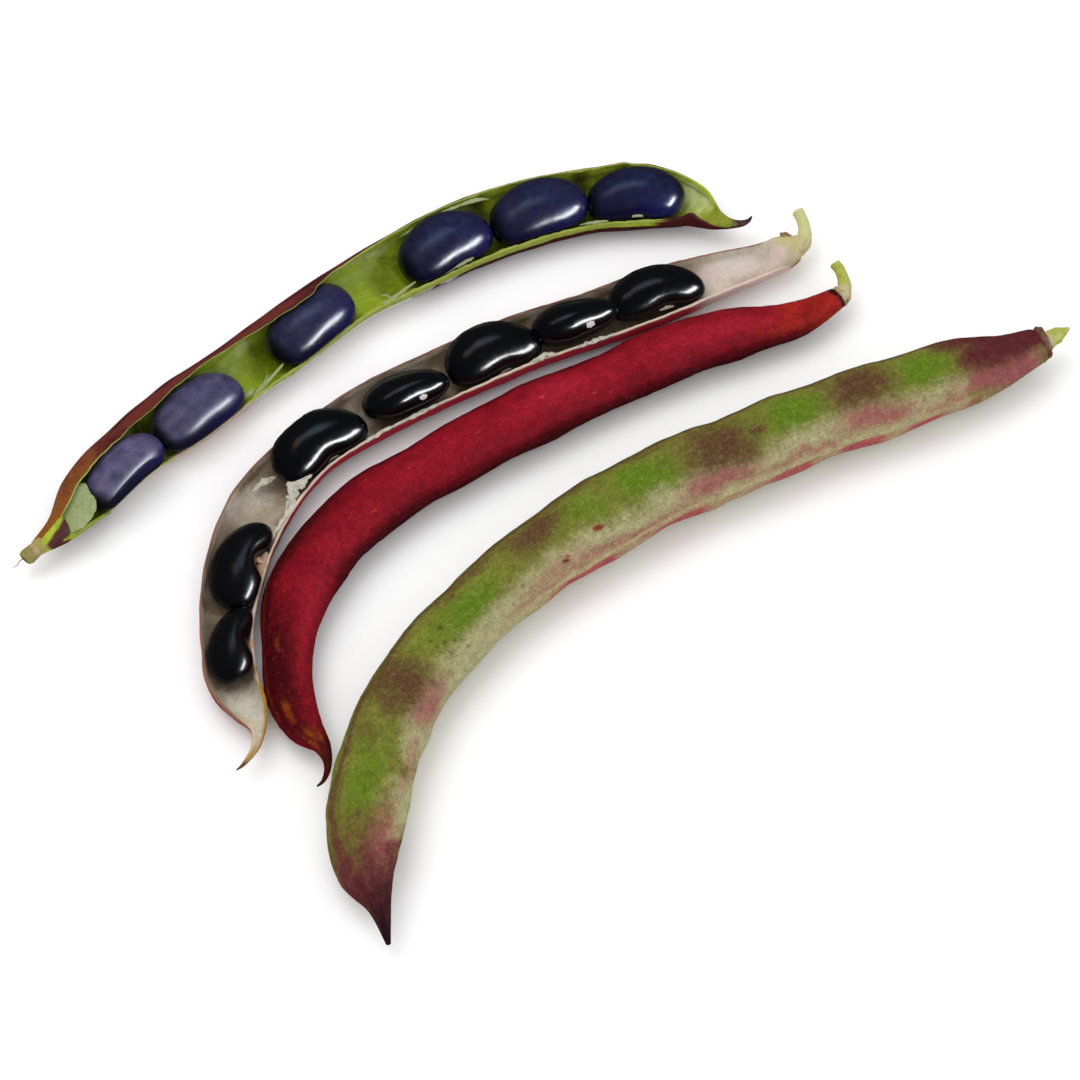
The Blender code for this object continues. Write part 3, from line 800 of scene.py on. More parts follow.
PALE_COATS = (
    # Painted shade in the hollow of the lining, more between the beans.
    ("deep", 122, 104, 84, 6, 0.4, 0),
    # Painted shade in browner patches on the lining.
    ("brown", 112, 90, 62, 2.6, 0.7, 0.1),
    ("pale", 204, 200, 186, 1.8, 0.9, 0.1),
    ("pink", 216, 192, 187, 5, 0.7, 0.1),
    ("skin", 140, 84, 66, 5, 0.4, 0.2),
    ("blush", 122, 44, 48, 1.4, 0.9, 0.1),
    ("rim", 208, 186, 168, 1.2, 0.5, 0.2),
    ("crimson", 184, 26, 56, 2, 0.6, 0.1),
    # Painted shade low on the near wall.
    ("painted_shade", 84, 8, 20, 3, 0.6, 0),
    ("pale_outside", 214, 188, 180, 2, 0.5, 0.1),
    ("mustard", 164, 122, 28, 2, 0.5, 0.1),
    ("edge", 140, 92, 74, 1, 0.6, 0.1),
    ("stripe", 186, 172, 132, 1.4, 0.5, 0.1),
    ("tip", 92, 62, 34, 1, 0.3, 0.1),
    ("green_end", 184, 172, 124, 1.2, 0.6, 0.1),
    ("fleck", 150, 20, 50, 0.8, 0.5, 0.2),
)
PALE_CLOUDS = ((150, 130, 104, 2.6, 0.48, 0.78, 0.35), (210, 204, 192, 1.4, 0.55, 0.78, 0.35))


def pale_pod(line):
    """Crimson and tan outside, with a cream lining and a hooked mustard tip at its left end; painted shade
    in the hollow, in browner patches of the lining and low on the near wall.
    """
    points, (s, a, lid, inner, rim, _, empty, from_lip, arc) = open_grid(line, PALE_POD)
    patches = PALE_PATCHES
    drift = wander(71, ((4, 12), (2, 3)), s, a)
    outer = (1 - inner) * (1 - rim)
    near_wall = outer * fade(280, 310, a)
    # Where the lining dips lowest, for the painted shade in the hollow.
    hollow = smooth(0, 0.9, -np.sin(np.radians(a)))
    crimson = near_wall * smooth(56, 80, s + drift) * smooth(172, 178, a + 0.2 * drift)
    flecks = (1 - inner) * spots(s, a, patches["end_fleck"])
    paints = {
        "along": s, "arc": arc,
        # Painted shade: darker in the hollow, most between the beans.
        "deep": inner * hollow * (0.3 + 0.7 * (1 - empty)) * fade(190, 200, s),
        "pale": inner * spots(s, a, patches["pale"]),
        # Painted shade: browner patches on the lining.
        "brown": inner * spots(s, a, patches["brown"]),
        "pink": inner * spots(s, a, patches["pink"]),
        "skin": outer,
        "blush": outer * smooth(-0.4, 0.7, wander(75, ((1, 11), (0.5, 3)), s, a, 7)) * smooth(262, 290, a),
        "crimson": crimson * fade(186, 200, s),
        # Painted shade: darker low on the near wall and under the pod.
        "painted_shade": outer * smooth(202, 222, a + drift) * fade(300, 320, a) * band(28, 40, 184, 198, s),
        "mustard": np.maximum(
            (1 - inner) * fade(250, 300, a) * smooth(3, 6, s) * fade(20, 30, s + 0.6 * drift),
            inner * spots(s, lid, patches["mustard"])),
        "rim": np.maximum(rim, outer * fade(0, 3, from_lip) * 0.6) * smooth(10, 20, s),
        "edge": (1 - inner) * fade(1, 8, from_lip) * smooth(280, 300, a),
        "tip": fade(1, 5, s),
        "pale_outside": outer * band(186, 200, 215, 219, s),
        "stripe": inner * fade(14, 24, s + 0.4 * drift) * bell(60, 22, lid) * 0.8,
        "green_end": smooth(215, 220, s + 0.3 * drift),
        "lining": inner * fade(188, 200, s),
        "fleck": flecks + outer * spots(s, a, patches["side_fleck"]),
    }
    finish = skin_finish(
        "pale_pod_skin", rgb(178, 164, 144), PALE_COATS, PALE_CLOUDS, roughness=0.58,
        veins=0.05, specular=0.12, grain=0.06, cloud_field="lining", flesh=0.1,
    )
    return tube("pale_pod_skin", points, paints, finish)


RED_PATCHES = {
    # Painted light: a lighter crimson along the top of the pod, a little towards its near side.
    "painted_light": (
        (60, 118, 30, 34, 0.6), (98, 110, 26, 34, 0.5), (134, 100, 24, 32, 0.9), (176, 108, 30, 34, 0.8),
        (44, 136, 20, 36, 0.7),
    ),
    # Painted shadow: deep maroon over the far side of the pod's left part, and at its left end.
    "brown": (
        (28, 56, 27, 84, 1), (56, 34, 36, 50, 1), (84, 34, 36, 26, 0.7), (8, 150, 9, 130, 0.8),
        (130, 44, 60, 14, 0.6),
    ),
    "orange": (
        (21, 66, 3.2, 16, 0.8), (14, 82, 2.8, 22, 0.7), (12.6, 112, 2.6, 22, 0.6), (11, 54, 5, 24, 0.6),
        (37, 70, 2, 10, 0.5),
    ),
    "scratch": (
        (110, 102, 1.6, 2, 0.9), (78, 128, 1.8, 2, 0.9), (83, 122, 1.6, 1.6, 0.9), (128, 100, 0.8, 3, 0.9),
        (154, 118, 1.8, 1.4, 0.9), (165, 115, 1.2, 2, 0.8), (92, 96, 0.7, 1.6, 0.8),
        (140, 130, 0.8, 1.6, 0.8),
    ),
}
RED_COATS = (
    # Painted light along the top.
    ("painted_light", 148, 24, 40, 2.4, 0.9, 0),
    ("warm", 150, 32, 24, 3, 0.7, 0),
    # Painted shadow over the far side of the left part.
    ("brown", 58, 6, 12, 2.4, 0.8, 0),
    ("orange", 132, 62, 14, 1.6, 0.9, 0),
    ("edge", 112, 44, 24, 2, 0.7, 0.1),
    # Painted shade on the lower side and under the pod.
    ("painted_shade", 62, 4, 10, 2.4, 0.6, 0),
    ("tip", 58, 22, 16, 2, 0.5, 0.1),
    ("scratch", 186, 70, 60, 0.4, 1, 0.2),
    ("stem_edge", 42, 18, 16, 1, 0.5, 0.1),
)
RED_CLOUDS = (
    (84, 4, 14, 6.5, 0.44, 0.74, 0.5), (172, 46, 58, 0.9, 0.56, 0.78, 0.32),
    (70, 2, 10, 0.55, 0.54, 0.72, 0.35),
)


def red_pod(line):
    """Crimson, with painted shade on its lower side and over the far side of its left part, deeper brown at
    its hooked tip, a painted lighter band along its top, and orange spots near the tip.
    """
    points, s, a, arc = closed_grid(line, RED_POD, 90)
    patches = RED_PATCHES
    drift = wander(94, ((5, 14), (2, 4)), s, a)
    paints = {
        "along": s, "arc": arc,
        # Painted shade: darker over the near lower side and under the pod.
        "painted_shade": np.maximum(
            smooth(138, 182, a + drift) * band(40, 66, 190, 204, s) * 0.9,
            band(180, 192, 320, 350, a) * 0.95),
        # Painted light: lighter patches along the top.
        "painted_light": spots(s, a + drift, patches["painted_light"]),
        # Painted shadow along the far side of the left part.
        "brown": spots(s, a + drift, patches["brown"]),
        "orange": spots(s, a + 0.3 * drift, patches["orange"]),
        "warm": smooth(176, 204, s + drift),
        "tip": fade(3, 13, s + 0.4 * drift),
        "edge": bell(20, 16, a) * 0.6 * smooth(10, 30, s),
        "stem_edge": smooth(204.8, 205.8, s + 0.08 * drift),
        "scratch": spots(s, a, patches["scratch"]),
    }
    finish = skin_finish(
        "red_pod_skin", rgb(126, 14, 28), RED_COATS, RED_CLOUDS, roughness=0.68,
        veins=0.14, specular=0.03, grain=0.22,
    )
    return tube("red_pod_skin", points, paints, finish)


GREEN_PATCHES = {
    "brown": (
        (61, 100, 9, 64, 0.95), (62, 60, 12, 30, 0.8), (109, 78, 11, 44, 0.95), (156, 98, 12, 64, 0.95),
        (167, 100, 2.4, 12, 0.8), (194, 92, 9, 58, 1), (90, 54, 20, 14, 0.6), (128, 54, 30, 12, 0.6),
        (30, 44, 26, 14, 0.8), (48, 80, 5, 26, 0.45), (22, 100, 8, 40, 0.5),
    ),
    "vivid": (
        (36, 94, 14, 34, 0.75), (84, 100, 12, 36, 0.9), (121, 94, 6, 30, 0.7), (138, 102, 10, 38, 1),
        (159, 66, 3.4, 10, 0.5), (177, 98, 10, 38, 1), (210, 96, 9, 32, 1),
    ),
    "pink": (
        (154, 152, 13, 22, 0.8), (196, 150, 12, 24, 0.8), (228, 150, 15, 34, 0.9), (108, 154, 16, 20, 0.5),
        (60, 154, 9, 30, 0.7), (22, 140, 13, 46, 0.75), (42, 152, 12, 18, 0.5), (128, 166, 40, 16, 0.6),
        (212, 164, 12, 14, 0.6), (176, 166, 24, 12, 0.6), (234, 160, 12, 50, 1), (104, 168, 20, 14, 0.5),
    ),
    "scar": (
        (121.5, 130, 1.5, 6, 1), (111.5, 148, 1.2, 5, 0.9), (112.4, 143, 0.9, 4, 0.8),
        (98, 137, 1.2, 5, 0.6), (131, 124, 0.8, 3, 0.6), (174, 131, 0.9, 3, 0.5),
    ),
    "dots": (
        (77.1, 96, 0.75, 4.5, 1), (73.2, 97, 0.6, 3.5, 0.9), (75, 115, 0.6, 4, 1),
        (76.7, 124, 0.55, 3.5, 0.9), (78.3, 132, 0.5, 3, 0.8), (78.1, 146, 0.6, 3.5, 0.8),
        (86.1, 68, 0.6, 3.5, 0.9), (76.5, 80, 0.5, 3, 0.7), (73, 109, 0.5, 3, 0.8),
        (79.5, 114, 0.5, 3, 0.7), (73.9, 131, 0.45, 3, 0.7), (81, 102, 0.4, 2.6, 0.7),
    ),
}
GREEN_COATS = (
    ("vivid", 86, 114, 20, 1, 1, 0),
    ("pale", 162, 157, 116, 1, 1.2, 0),
    ("brown", 86, 57, 38, 0.9, 1.2, 0),
    ("pink", 146, 80, 82, 0.8, 1.3, 0),
    ("maroon", 86, 34, 38, 1.2, 0.8, 0),
    ("plum", 92, 42, 44, 1.2, 1, 0),
    ("red", 162, 70, 78, 1, 0.9, 0),
    ("scar", 112, 44, 30, 0.5, 1.1, 0.2),
    ("seam", 170, 154, 112, 1.2, 0.6, 0),
    ("ridge", 54, 38, 18, 2, 0.5, 0.1),
    ("tip", 34, 14, 20, 2, 0.5, 0),
)
GREEN_CLOUDS = ((88, 54, 32, 0.55, 0.52, 0.72, 0.45), (168, 160, 118, 0.75, 0.48, 0.8, 0.26))


def green_pod(line):
    """Green and purple-brown bands, paler and pinker below, maroon at both ends, with painted shade along
    the far upper edge.
    """
    points, s, a, arc = closed_grid(line, GREEN_POD, 120)
    patches = GREEN_PATCHES
    drift = wander(124, ((7, 16), (4, 5)), s, a)
    below = smooth(104, 158, a + 0.8 * drift)
    under_seam = smooth(176, 182, a + 0.2 * drift) * fade(208, 224, a + drift)
    unsteady = 0.35 + 0.5 * smooth(-0.5, 0.5, Ripple(126, 14)(s))
    paints = {
        "along": s, "arc": arc,
        # Purple-brown bands, and painted shade along the far upper edge of the pod.
        "brown": np.maximum(spots(s + 0.25 * drift, a + drift, patches["brown"]), 0.75 * bell(44, 12, a)),
        "vivid": spots(s + 0.2 * drift, a + 0.7 * drift, patches["vivid"]),
        "pale": below * smooth(20, 44, s + drift) * (1 - 0.7 * smooth(212, 226, s + drift)),
        "pink": spots(s + 0.3 * drift, a + 0.8 * drift, patches["pink"]),
        "red": under_seam * band(90, 108, 214, 228, s) * unsteady,
        "scar": spots(s + 0.04 * drift, a + 0.2 * drift, patches["scar"]),
        "seam": bell(173.5, 2.6, a) * band(84, 104, 218, 230, s) * (1 - 0.55 * smooth(144, 166, s)),
        "maroon": smooth(213, 225, s + 0.35 * drift) * (1 - 0.8 * below * fade(236, 246, s)),
        "plum": fade(4, 44, s + 0.8 * drift),
        "tip": fade(0, 17, s + 0.4 * drift),
        "stipple": band(20, 44, 204, 220, s),
        "ridge": bell(58, 2.6, a) * band(6, 12, 34, 60, s) * 0.5,
        "dots": spots(s, a, patches["dots"]),
    }
    finish = skin_finish(
        "green_pod_skin", rgb(108, 112, 42), GREEN_COATS, GREEN_CLOUDS, roughness=0.68,
        veins=0.09, specular=0.03, grain=0.22, cloud_field="stipple", dots=True,
    )
    return tube("green_pod_skin", points, paints, finish)


def seed_coat(name, colours, roughness):
    """A bean's finish: painted shade below and at its left end, bluer towards its right end, a painted sheen
    in streaks over its upper side, paler and dusty on top.
    """
    painted_shade, blue, painted_sheen_colour, pale, eye = (rgb(*colour) for colour in colours)
    recipe = Recipe(name)
    # Painted shade: the bean stays near black except in the lower_light band, and there it is bluer towards
    # its right end.
    rightward = recipe.ramp(recipe.field("tip_end"), 0.25, 1.0, 0.25, 1.0)
    tone = recipe.over(painted_shade, blue, recipe.times(rightward, recipe.field("lower_light")))
    # Painted sheen: the sheen colour laid in broken streaks over the upper side.
    sheen_streaks = recipe.ramp(recipe.noise(2.0, 4.0, 0.6), 0.30, 0.70, 0.25, 1.0)
    tone = recipe.over(tone, painted_sheen_colour, recipe.times(recipe.field("painted_sheen"), sheen_streaks))
    cloud = recipe.ramp(recipe.noise(3.4, 4.0), 0.3, 0.7, 0.45, 1.0)
    dusty = recipe.times(recipe.ramp(recipe.field("upper"), 0.10, 0.90), cloud)
    tone = recipe.over(tone, pale, recipe.times(recipe.field("pallor"), dusty))
    # Painted shade laid over the left end and the underside.
    tone = recipe.over(tone, LIMB_SHADE_COLOUR, recipe.ramp(recipe.field("painted_limb_shade"), 0.0, 0.78))
    tone = recipe.shade(tone, 0.16, 2.5)
    tone = recipe.shade(tone, 0.16, 0.35, 5.0)
    tone = recipe.coat(tone, "eye_ring", EYE_RING_COLOUR, 0.5, 0.2, 0.2)
    tone = recipe.coat(tone, "eye", eye, 0.4, 0.2, 0.3)
    rough = recipe.ramp(recipe.noise(1.5), 0.3, 0.7, roughness, roughness + 0.05)
    rough = recipe.maths("ADD", rough, recipe.times(recipe.field("pallor"), 0.12))
    normal = recipe.bump(recipe.noise(2.2, 2.0), 0.03)
    normal = recipe.bump(recipe.noise(0.3, 2.0), 0.003, normal)
    return recipe.done(tone, rough, normal, 0.42)


def stalk_finish(name, colour, tints):
    recipe = Recipe(name)
    tone = recipe.coats(recipe.shade(colour, 0.15, 1.4), tints)
    tone = recipe.shade(tone, 0.10, 0.4)
    rough = recipe.ramp(recipe.noise(0.6), 0.3, 0.7, 0.5, 0.66)
    normal = recipe.bump(recipe.noise(0.45, 4.0), 0.08)
    return recipe.done(tone, rough, normal, 0.3, 0.1)


# Torn films and threads on the opened pods. Each row is a strand: stations of distance along
# the pod, offset, height and half width, then its thickness and how ragged it is.
VIOLET_FILM = (
    (((6.4, -0.7, 6.8, 1.3), (8.6, -0.9, 7.5, 2.9), (11.5, -1.1, 8.2, 4.1), (14.2, -0.8, 8.8, 4),
      (16.8, 0.2, 9.6, 2.6), (18.8, 0.6, 10.1, 0.9)), 0.12, 0.05),
)
VIOLET_SHREDS = (
    (((64, -6.6, 5, 0.3), (67.6, -6.5, 6, 0.5), (71, -6.2, 6.8, 0.35), (75, -5.6, 7.4, 0.3)), 0.3, 0.14),
    (((67.4, -6.5, 6, 0.4), (69.4, -5.6, 6, 0.3), (71, -4.2, 5.4, 0.2)), 0.25, 0.14),
    (((62.6, -5.8, 5.4, 0.3), (64, -5.8, 5.9, 0.6), (65.6, -5.4, 6, 0.4)), 0.5, 0.2),
    (((104.5, -6.9, 6.4, 0.25), (108, -7.2, 6.8, 0.45), (111.5, -6.9, 7.2, 0.35),
      (115, -6.6, 7.6, 0.25)), 0.3, 0.14),
    (((107.6, -7, 6.8, 0.3), (107, -5.8, 6.9, 0.3), (106, -4.8, 6.3, 0.2)), 0.25, 0.14),
    (((118, 7, 7.2, 0.2), (123, 6.9, 8, 0.35), (129, 6.9, 8.5, 0.45), (134, 6.9, 8.7, 0.4),
      (139.4, 6.5, 8.7, 0.6), (142, 5.9, 8.3, 0.2)), 0.18, 0.22),
    (((120.5, -7.7, 6.8, 0.2), (124, -7.9, 7.4, 0.5), (128, -8, 7.8, 0.55),
      (131, -8, 7.6, 0.2)), 0.25, 0.25),
    (((160.6, -7.7, 7, 0.2), (164.5, -7.9, 7.5, 0.4), (168.4, -7.8, 7.2, 0.2)), 0.25, 0.25),
)
PALE_SHREDS = (
    (((75.8, -4.9, 4.6, 0.3), (78.4, -4.6, 5.8, 1.2), (80.6, -4.3, 6.8, 1.7), (83.2, -4.9, 7.2, 1.1),
      (85.4, -5.6, 7, 0.3)), 0.4, 0.28),
    (((75.2, 4.6, 3.6, 0.2), (77, 4.2, 4, 0.7), (79.4, 3.1, 4.2, 0.8), (81, 1.8, 4.4, 0.2)), 0.22, 0.3),
    (((62.5, -5.6, 5.8, 0.2), (66.4, -6.1, 6.1, 0.4), (70, -6.5, 6.2, 0.5), (74, -6.5, 6, 0.7),
      (78, -5.8, 5.6, 0.4)), 0.4, 0.3),
    (((74.4, -5.2, 4.4, 0.3), (76.6, -4.8, 5, 0.5), (78.2, -4.2, 5.8, 0.3)), 0.5, 0.3),
    (((100.8, -6.7, 6, 0.2), (104.6, -6.9, 6.5, 0.5), (108, -7, 6.7, 0.45),
      (110.6, -7, 6.3, 0.2)), 0.35, 0.35),
    (((111.6, -6.9, 6.4, 0.2), (116, -7.3, 6.7, 0.5), (121, -7.2, 6.7, 0.4),
      (126, -6.9, 6.4, 0.2)), 0.3, 0.4),
    (((147.6, -6.9, 6.4, 0.2), (151.4, -6.9, 7, 0.7), (155, -7, 6.6, 0.3)), 0.4, 0.6),
    (((158.6, -7, 6.3, 0.2), (164, -7, 6.8, 0.5), (170, -6.8, 6.6, 0.3)), 0.35, 0.5),
)
PALE_THREADS = (
    (((58.2, -6.1, 5.4, 1.1), (57.6, -5.2, 6.2, 0.9), (57.2, -4.2, 6.8, 0.6)), 1, 0.15),
    (((53.2, -6, 5, 0.5), (55.4, -5.9, 5.6, 0.9), (58.2, -5.9, 5.8, 1), (60.6, -6, 5.6, 0.5)), 0.9, 0.2),
    (((31, -5.2, 4.8, 0.5), (34, -5.2, 5.6, 0.8), (36.6, -5.4, 5.2, 0.4)), 0.8, 0.2),
)
CALYX_BITS = (
    (((220.4, 1.8, 6.2, 1), (219.6, 2.9, 6.9, 1), (218.8, 3.5, 7.6, 0.7),
      (218.4, 3.7, 8.2, 0.3)), 0.9, 0.25),
)
DRY_HAIR = (
    (((-0.9, 0.2, 5.8, 0.16), (-2.6, 0, 5.9, 0.15), (-4.4, 0.5, 6, 0.13), (-5.8, 0.2, 5.9, 0.10),
      (-6.8, 0.6, 5.7, 0.06)), 0.2, 0.05),
)
STRAND_RINGS = 44
STRAND_SIDES = 18


def strand_grid(line, stations, thickness, ragged, seed):
    """Rings of points of a flat torn strand laid along its stations."""
    distance, offset, height, half = np.array(stations, float).T
    places = line.beside(np.maximum(distance, 0.0), offset, height)
    start = line.at(0.0)[1][:2]
    places[:, :2] += np.minimum(distance, 0.0)[:, None] * start / np.linalg.norm(start)
    run = Line(np.column_stack([places, half]), coordinates=3)
    share = np.linspace(0, 1, STRAND_RINGS)[:, None]
    row, rate = run.at(run.length * share)
    forward = rate[..., :3] / np.linalg.norm(rate[..., :3], axis=-1, keepdims=True)
    flat = np.cross((0.0, 0.0, 1.0), forward)
    flat /= np.linalg.norm(flat, axis=-1, keepdims=True)
    thick = np.cross(forward, flat)
    angle = (np.arange(STRAND_SIDES) * math.tau / STRAND_SIDES)[None, :]
    cap = np.sqrt(np.clip(1 - (2 * share - 1) ** 8, 0.0004, 1))
    along = run.length * share
    torn = 1 + ragged * wander(seed, ((1, 1.6), (0.6, 0.6)), along, np.cos(angle), 1)
    wide = np.maximum(row[..., 3] * cap * torn, 0.02) * np.cos(angle)
    deep = thickness / 2 * cap * np.sin(angle) + 0.12 * ragged * Ripple(seed + 2, 1.8)(along, wide)
    points = row[..., :3] + wide[..., None] * flat + deep[..., None] * thick
    points[..., 2] = np.maximum(points[..., 2], 0.05)
    return points


def strands(name, line, rows, material, seed):
    """All of a pod's strands as one piece."""
    points, faces, total = [], [], 0
    for number, (stations, thickness, ragged) in enumerate(rows):
        block, shell = capped(strand_grid(line, stations, thickness, ragged, seed + 7 * number))
        points.append(block)
        faces += [[corner + total for corner in face] for face in shell]
        total += len(block)
    return make_piece(name, np.concatenate(points), faces, {}, material)


def film_finish(name, colour, shade, flesh):
    recipe = Recipe(name)
    tone = recipe.over(colour, shade, recipe.ramp(recipe.noise(1.3, 4.0), 0.45, 0.75))
    tone = recipe.shade(tone, 0.12, 0.35)
    rough = recipe.ramp(recipe.noise(0.8), 0.3, 0.7, 0.35, 0.5)
    normal = recipe.bump(recipe.noise(0.5, 4.0), 0.08)
    return recipe.done(tone, rough, normal, 0.35, flesh)


def trimmings(lines):
    """Torn films, threads and dry bits, each with the slot of its finish."""
    lime = film_finish("lime_film", rgb(146, 156, 108), rgb(126, 142, 74), 0.2)
    pale = film_finish("pale_film", rgb(192, 188, 174), rgb(156, 146, 122), 0.2)
    thread = film_finish("seed_thread", rgb(186, 146, 116), rgb(150, 104, 78), 0.2)
    dry = film_finish("dry_bits", rgb(142, 106, 66), rgb(92, 62, 38), 0.0)
    rows = (
        ("violet_film", "violet", VIOLET_FILM, lime, 300, "violet_pod_skin"),
        ("violet_shreds", "violet", VIOLET_SHREDS, lime, 340, "violet_pod_skin"),
        ("pale_shreds", "pale", PALE_SHREDS, pale, 400, "pale_pod_skin"),
        ("seed_threads", "pale", PALE_THREADS, thread, 460, "pale_pod_skin"),
        ("pale_calyx_bits", "pale", CALYX_BITS, dry, 500, "fresh_stalk"),
        ("violet_dry_hair", "violet", DRY_HAIR, dry, 540, "dry_stalk"),
    )
    for name, label, table, finish, seed, slot in rows:
        yield strands(name, lines[label], table, finish, seed), slot


GREEN_CUP = (
    (102.8, -65.9, 7.8, 3.2), (103.5, -66.2, 7.8, 3.9), (104.3, -66.5, 7.7, 3.9),
    (104.8, -66.6, 7.7, 3),
)
RED_CUP = (
    (80.9, -22.2, 5.4, 2.1), (81.6, -22.4, 5.4, 2.5), (82.5, -22.6, 5.5, 2.4), (83.1, -22.7, 5.6, 1.8),
)


def cups():
    """What is left of the flower's cup round the foot of two of the stalks."""
    brown = film_finish("dry_cup", rgb(112, 72, 46), rgb(58, 26, 22), 0.0)
    cream = film_finish("cream_cup", rgb(168, 150, 108), rgb(96, 62, 42), 0.0)
    rows = (("green_cup", GREEN_CUP, 21, brown), ("red_cup", RED_CUP, 24, cream))
    for name, stations, seed, finish in rows:
        yield tube(name, stalk_grid(stations, 7, 0.07, 1.0, seed)[0], {}, finish), "fresh_stalk"


# Seed coats: the colours of painted shade, of blue, of painted sheen, of pale and of the eye, and roughness.
SEED_COATS = {
    "violet": (((4, 3, 20), (17, 16, 84), (26, 34, 72), (88, 80, 116), (224, 220, 208)), 0.20),
    "black": (((4, 4, 6), (5, 5, 8), (8, 7, 10), (8, 7, 10), (226, 220, 214)), 0.16),
}
FRESH_COATS = (
    ("pallor", 190, 190, 128, 1.2, 0.4, 0.1), ("foot", 186, 172, 124, 0.8, 0.6, 0.2),
    ("cut", 204, 204, 150, 0.5, 0.3, 0.2),
)
DRY_COATS = (("foot", 168, 140, 96, 0.8, 0.6, 0.2), ("cut", 58, 44, 26, 0.5, 0.3, 0.2))


def seeds(lines):
    """The beans in both opened pods, each with its node and slot."""
    coats = {kind: seed_coat(f"{kind}_bean_coat", *SEED_COATS[kind]) for kind in SEED_COATS}
    for kind, label, pod in (("violet", "violet", VIOLET_POD), ("black", "pale", PALE_POD)):
        for number, row in enumerate(pod["beans"], 1):
            node = f"{kind}_bean_{number}"
            points, paints = bean_grid(lines[label], pod, row)
            yield tube(f"{node}_coat", points, paints, coats[kind]), node, f"{kind}_bean_coat"


def stems():
    """The four stalks, each with its node and slot."""
    finishes = {
        "fresh_stalk": stalk_finish("fresh_stalk", rgb(164, 170, 58), FRESH_COATS),
        "dry_stalk": stalk_finish("dry_stalk", rgb(138, 128, 66), DRY_COATS),
    }
    rows = (
        ("violet", VIOLET_STALK, 1, 0.0, "dry_stalk"), ("pale", PALE_STALK, 2, 1.0, "fresh_stalk"),
        ("red", RED_STALK, 3, 0.2, "fresh_stalk"), ("green", GREEN_STALK, 4, 0.2, "fresh_stalk"),
    )
    for label, stations, seed, pallor, slot in rows:
        points, share = stalk_grid(stations, 5, 0.05, 0.4, seed)
        paints = {"foot": fade(0.2, 0.5, share), "cut": smooth(0.95, 0.99, share), "pallor": pallor}
        yield tube(f"{label}_stalk_stem", points, paints, finishes[slot]), f"{label}_stalk", slot


def main_pieces():
    pods = (
        ("violet", VIOLET_LINE, violet_pod), ("pale", PALE_LINE, pale_pod),
        ("red", RED_LINE, red_pod), ("green", GREEN_LINE, green_pod),
    )
    lines = {label: Line(stations) for label, stations, _ in pods}
    made = [(build(lines[label]), f"{label}_pod", f"{label}_pod_skin") for label, _, build in pods]
    for piece, node, slot in (*made, *seeds(lines), *stems()):
        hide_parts(node)
        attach(piece, "root")
    for piece, slot in (*trimmings(lines), *cups()):
        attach(piece, "root")


# The photograph's view: where the camera looks, from how far and from which direction.
LOOK_AT = (-0.015, -0.018, 0.0)
LOOK_FROM = (-0.3747, -0.3747, 0.8480)
LOOK_DISTANCE = 0.75
LENS = 108.7


def set_camera():
    data = bpy.data.cameras.new("camera")
    data.lens = LENS
    data.sensor_width = 36
    data.clip_start = 0.01
    data.clip_end = 20
    camera = bpy.data.objects.new("camera", data)
    back = Vector(LOOK_FROM).normalized()
    camera.location = Vector(LOOK_AT) + back * LOOK_DISTANCE
    camera.rotation_mode = "QUATERNION"
    camera.rotation_quaternion = (-back).to_track_quat("-Z", "Y")
    bpy.context.scene.collection.objects.link(camera)
    bpy.context.scene.camera = camera


# What surrounds the bunch, as soft light, as mirrored and as seen: kind of ray, colour and strength.
SURROUNDINGS = (
    ("", (1, 1, 1, 1), 0.975),
    ("Is Glossy Ray", (0.75, 0.85, 1, 1), 0.07),
    ("Is Camera Ray", (1, 1, 1, 1), 1.0),
)
FLOOR_SIZE = 6.0
FLOOR_HEIGHT = -0.0002
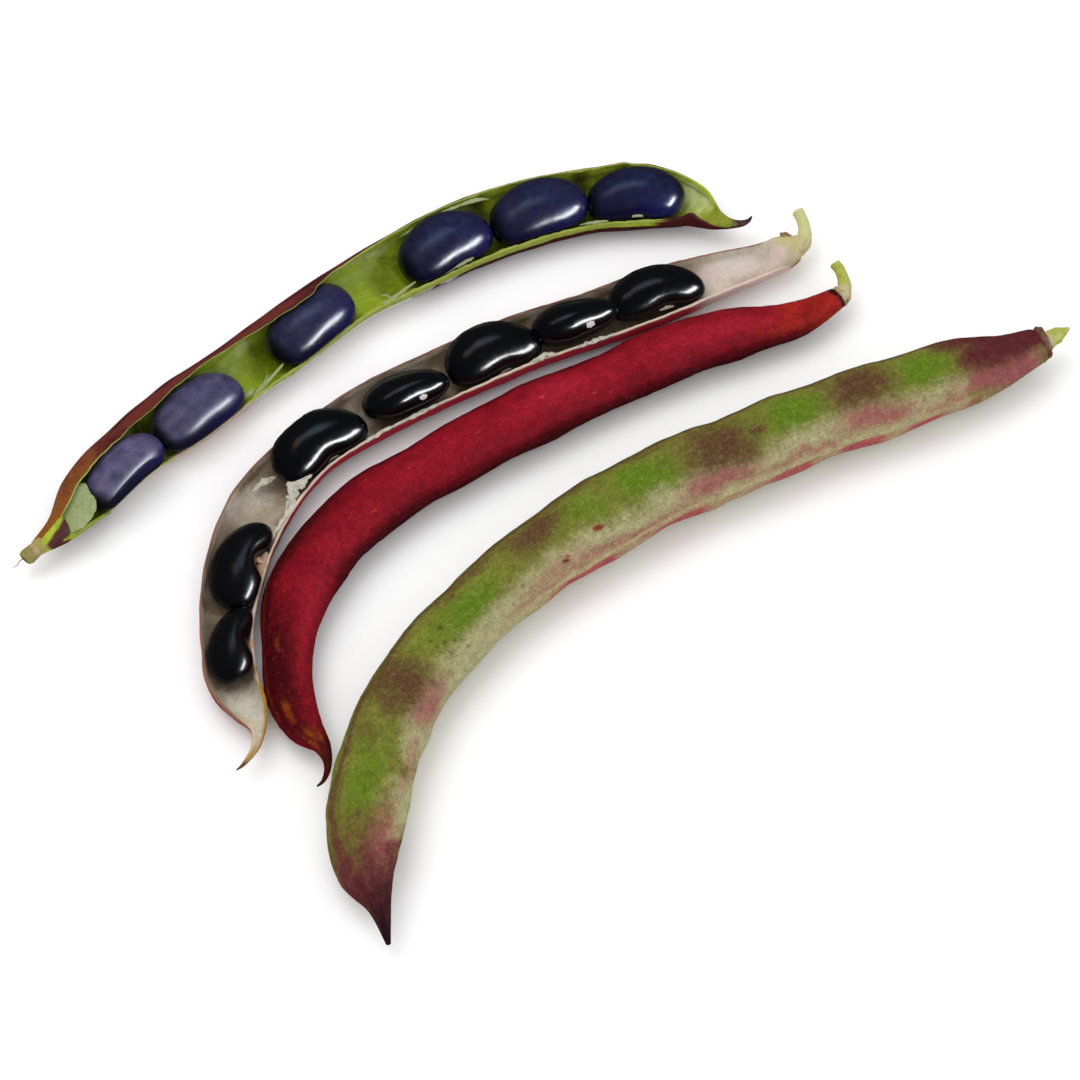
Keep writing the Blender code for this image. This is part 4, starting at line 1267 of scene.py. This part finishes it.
# Lights: direction, distance, size, power, colour, whether skins and gloss show it, and shape.
LIGHTS = (
    ("key", (-0.10, 0.36, 0.88), 1.3, (0.9, 0.9), 4.6, (1, 1, 1), True, False, "RECTANGLE"),
    ("strip", (0.375, -0.669, 0.643), 1.0, (0.75, 0.22), 21, (0.92, 0.96, 1), False, True, "RECTANGLE"),
    ("sky_card", (0.34, 0.40, 0.85), 1.1, (0.42, 0.34), 0.55, (0.55, 0.75, 1), False, True, "ELLIPSE"),
    ("warm_card", (0.06, 0.44, 0.85), 1.1, (0.24, 0.34), 0.22, (1, 0.85, 0.75), False, True, "ELLIPSE"),
)


def area_light(name, toward, distance, size, power, colour, diffuse, glossy, shape):
    """A soft light in this direction from the bunch, facing it."""
    data = bpy.data.lights.new(name, "AREA")
    data.shape = shape
    data.size, data.size_y = size
    data.energy = power
    data.color = colour
    lamp = bpy.data.objects.new(name, data)
    aim = Vector(toward).normalized()
    lamp.location = aim * distance
    lamp.rotation_mode = "QUATERNION"
    lamp.rotation_quaternion = (-aim).to_track_quat("-Z", "Y")
    lamp.visible_camera = False
    lamp.visible_diffuse = diffuse
    lamp.visible_glossy = glossy
    bpy.context.scene.collection.objects.link(lamp)


def set_stage():
    scene = bpy.context.scene
    scene.view_settings.view_transform = "Standard"
    scene.view_settings.look = "None"
    world = bpy.data.worlds.new("studio")
    world.use_nodes = True
    scene.world = world
    tree = world.node_tree
    tree.nodes.clear()
    path = tree.nodes.new("ShaderNodeLightPath")
    below = None
    for ray, colour, strength in SURROUNDINGS:
        glow = tree.nodes.new("ShaderNodeBackground")
        glow.inputs["Color"].default_value = colour
        glow.inputs["Strength"].default_value = strength
        shown = glow.outputs[0]
        if ray:
            pick = tree.nodes.new("ShaderNodeMixShader")
            for socket, source in zip(pick.inputs, (path.outputs[ray], below, shown)):
                tree.links.new(source, socket)
            shown = pick.outputs[0]
        below = shown
    output = tree.nodes.new("ShaderNodeOutputWorld")
    tree.links.new(below, output.inputs["Surface"])

    bpy.ops.mesh.primitive_plane_add(size=FLOOR_SIZE, location=(0, 0, FLOOR_HEIGHT))
    floor = bpy.context.object
    floor.name = "floor"
    recipe = Recipe("floor")
    floor.data.materials.append(recipe.done(rgb(253, 253, 254), 0.9, None, 0.1))
    floor.visible_glossy = False
    floor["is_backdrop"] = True

    for row in LIGHTS:
        area_light(*row)


set_camera()
main_pieces()
set_stage()

boxes = {"cad": cad_box, "visual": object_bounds()}
{name: [list(corner) for corner in box] for name, box in boxes.items()}
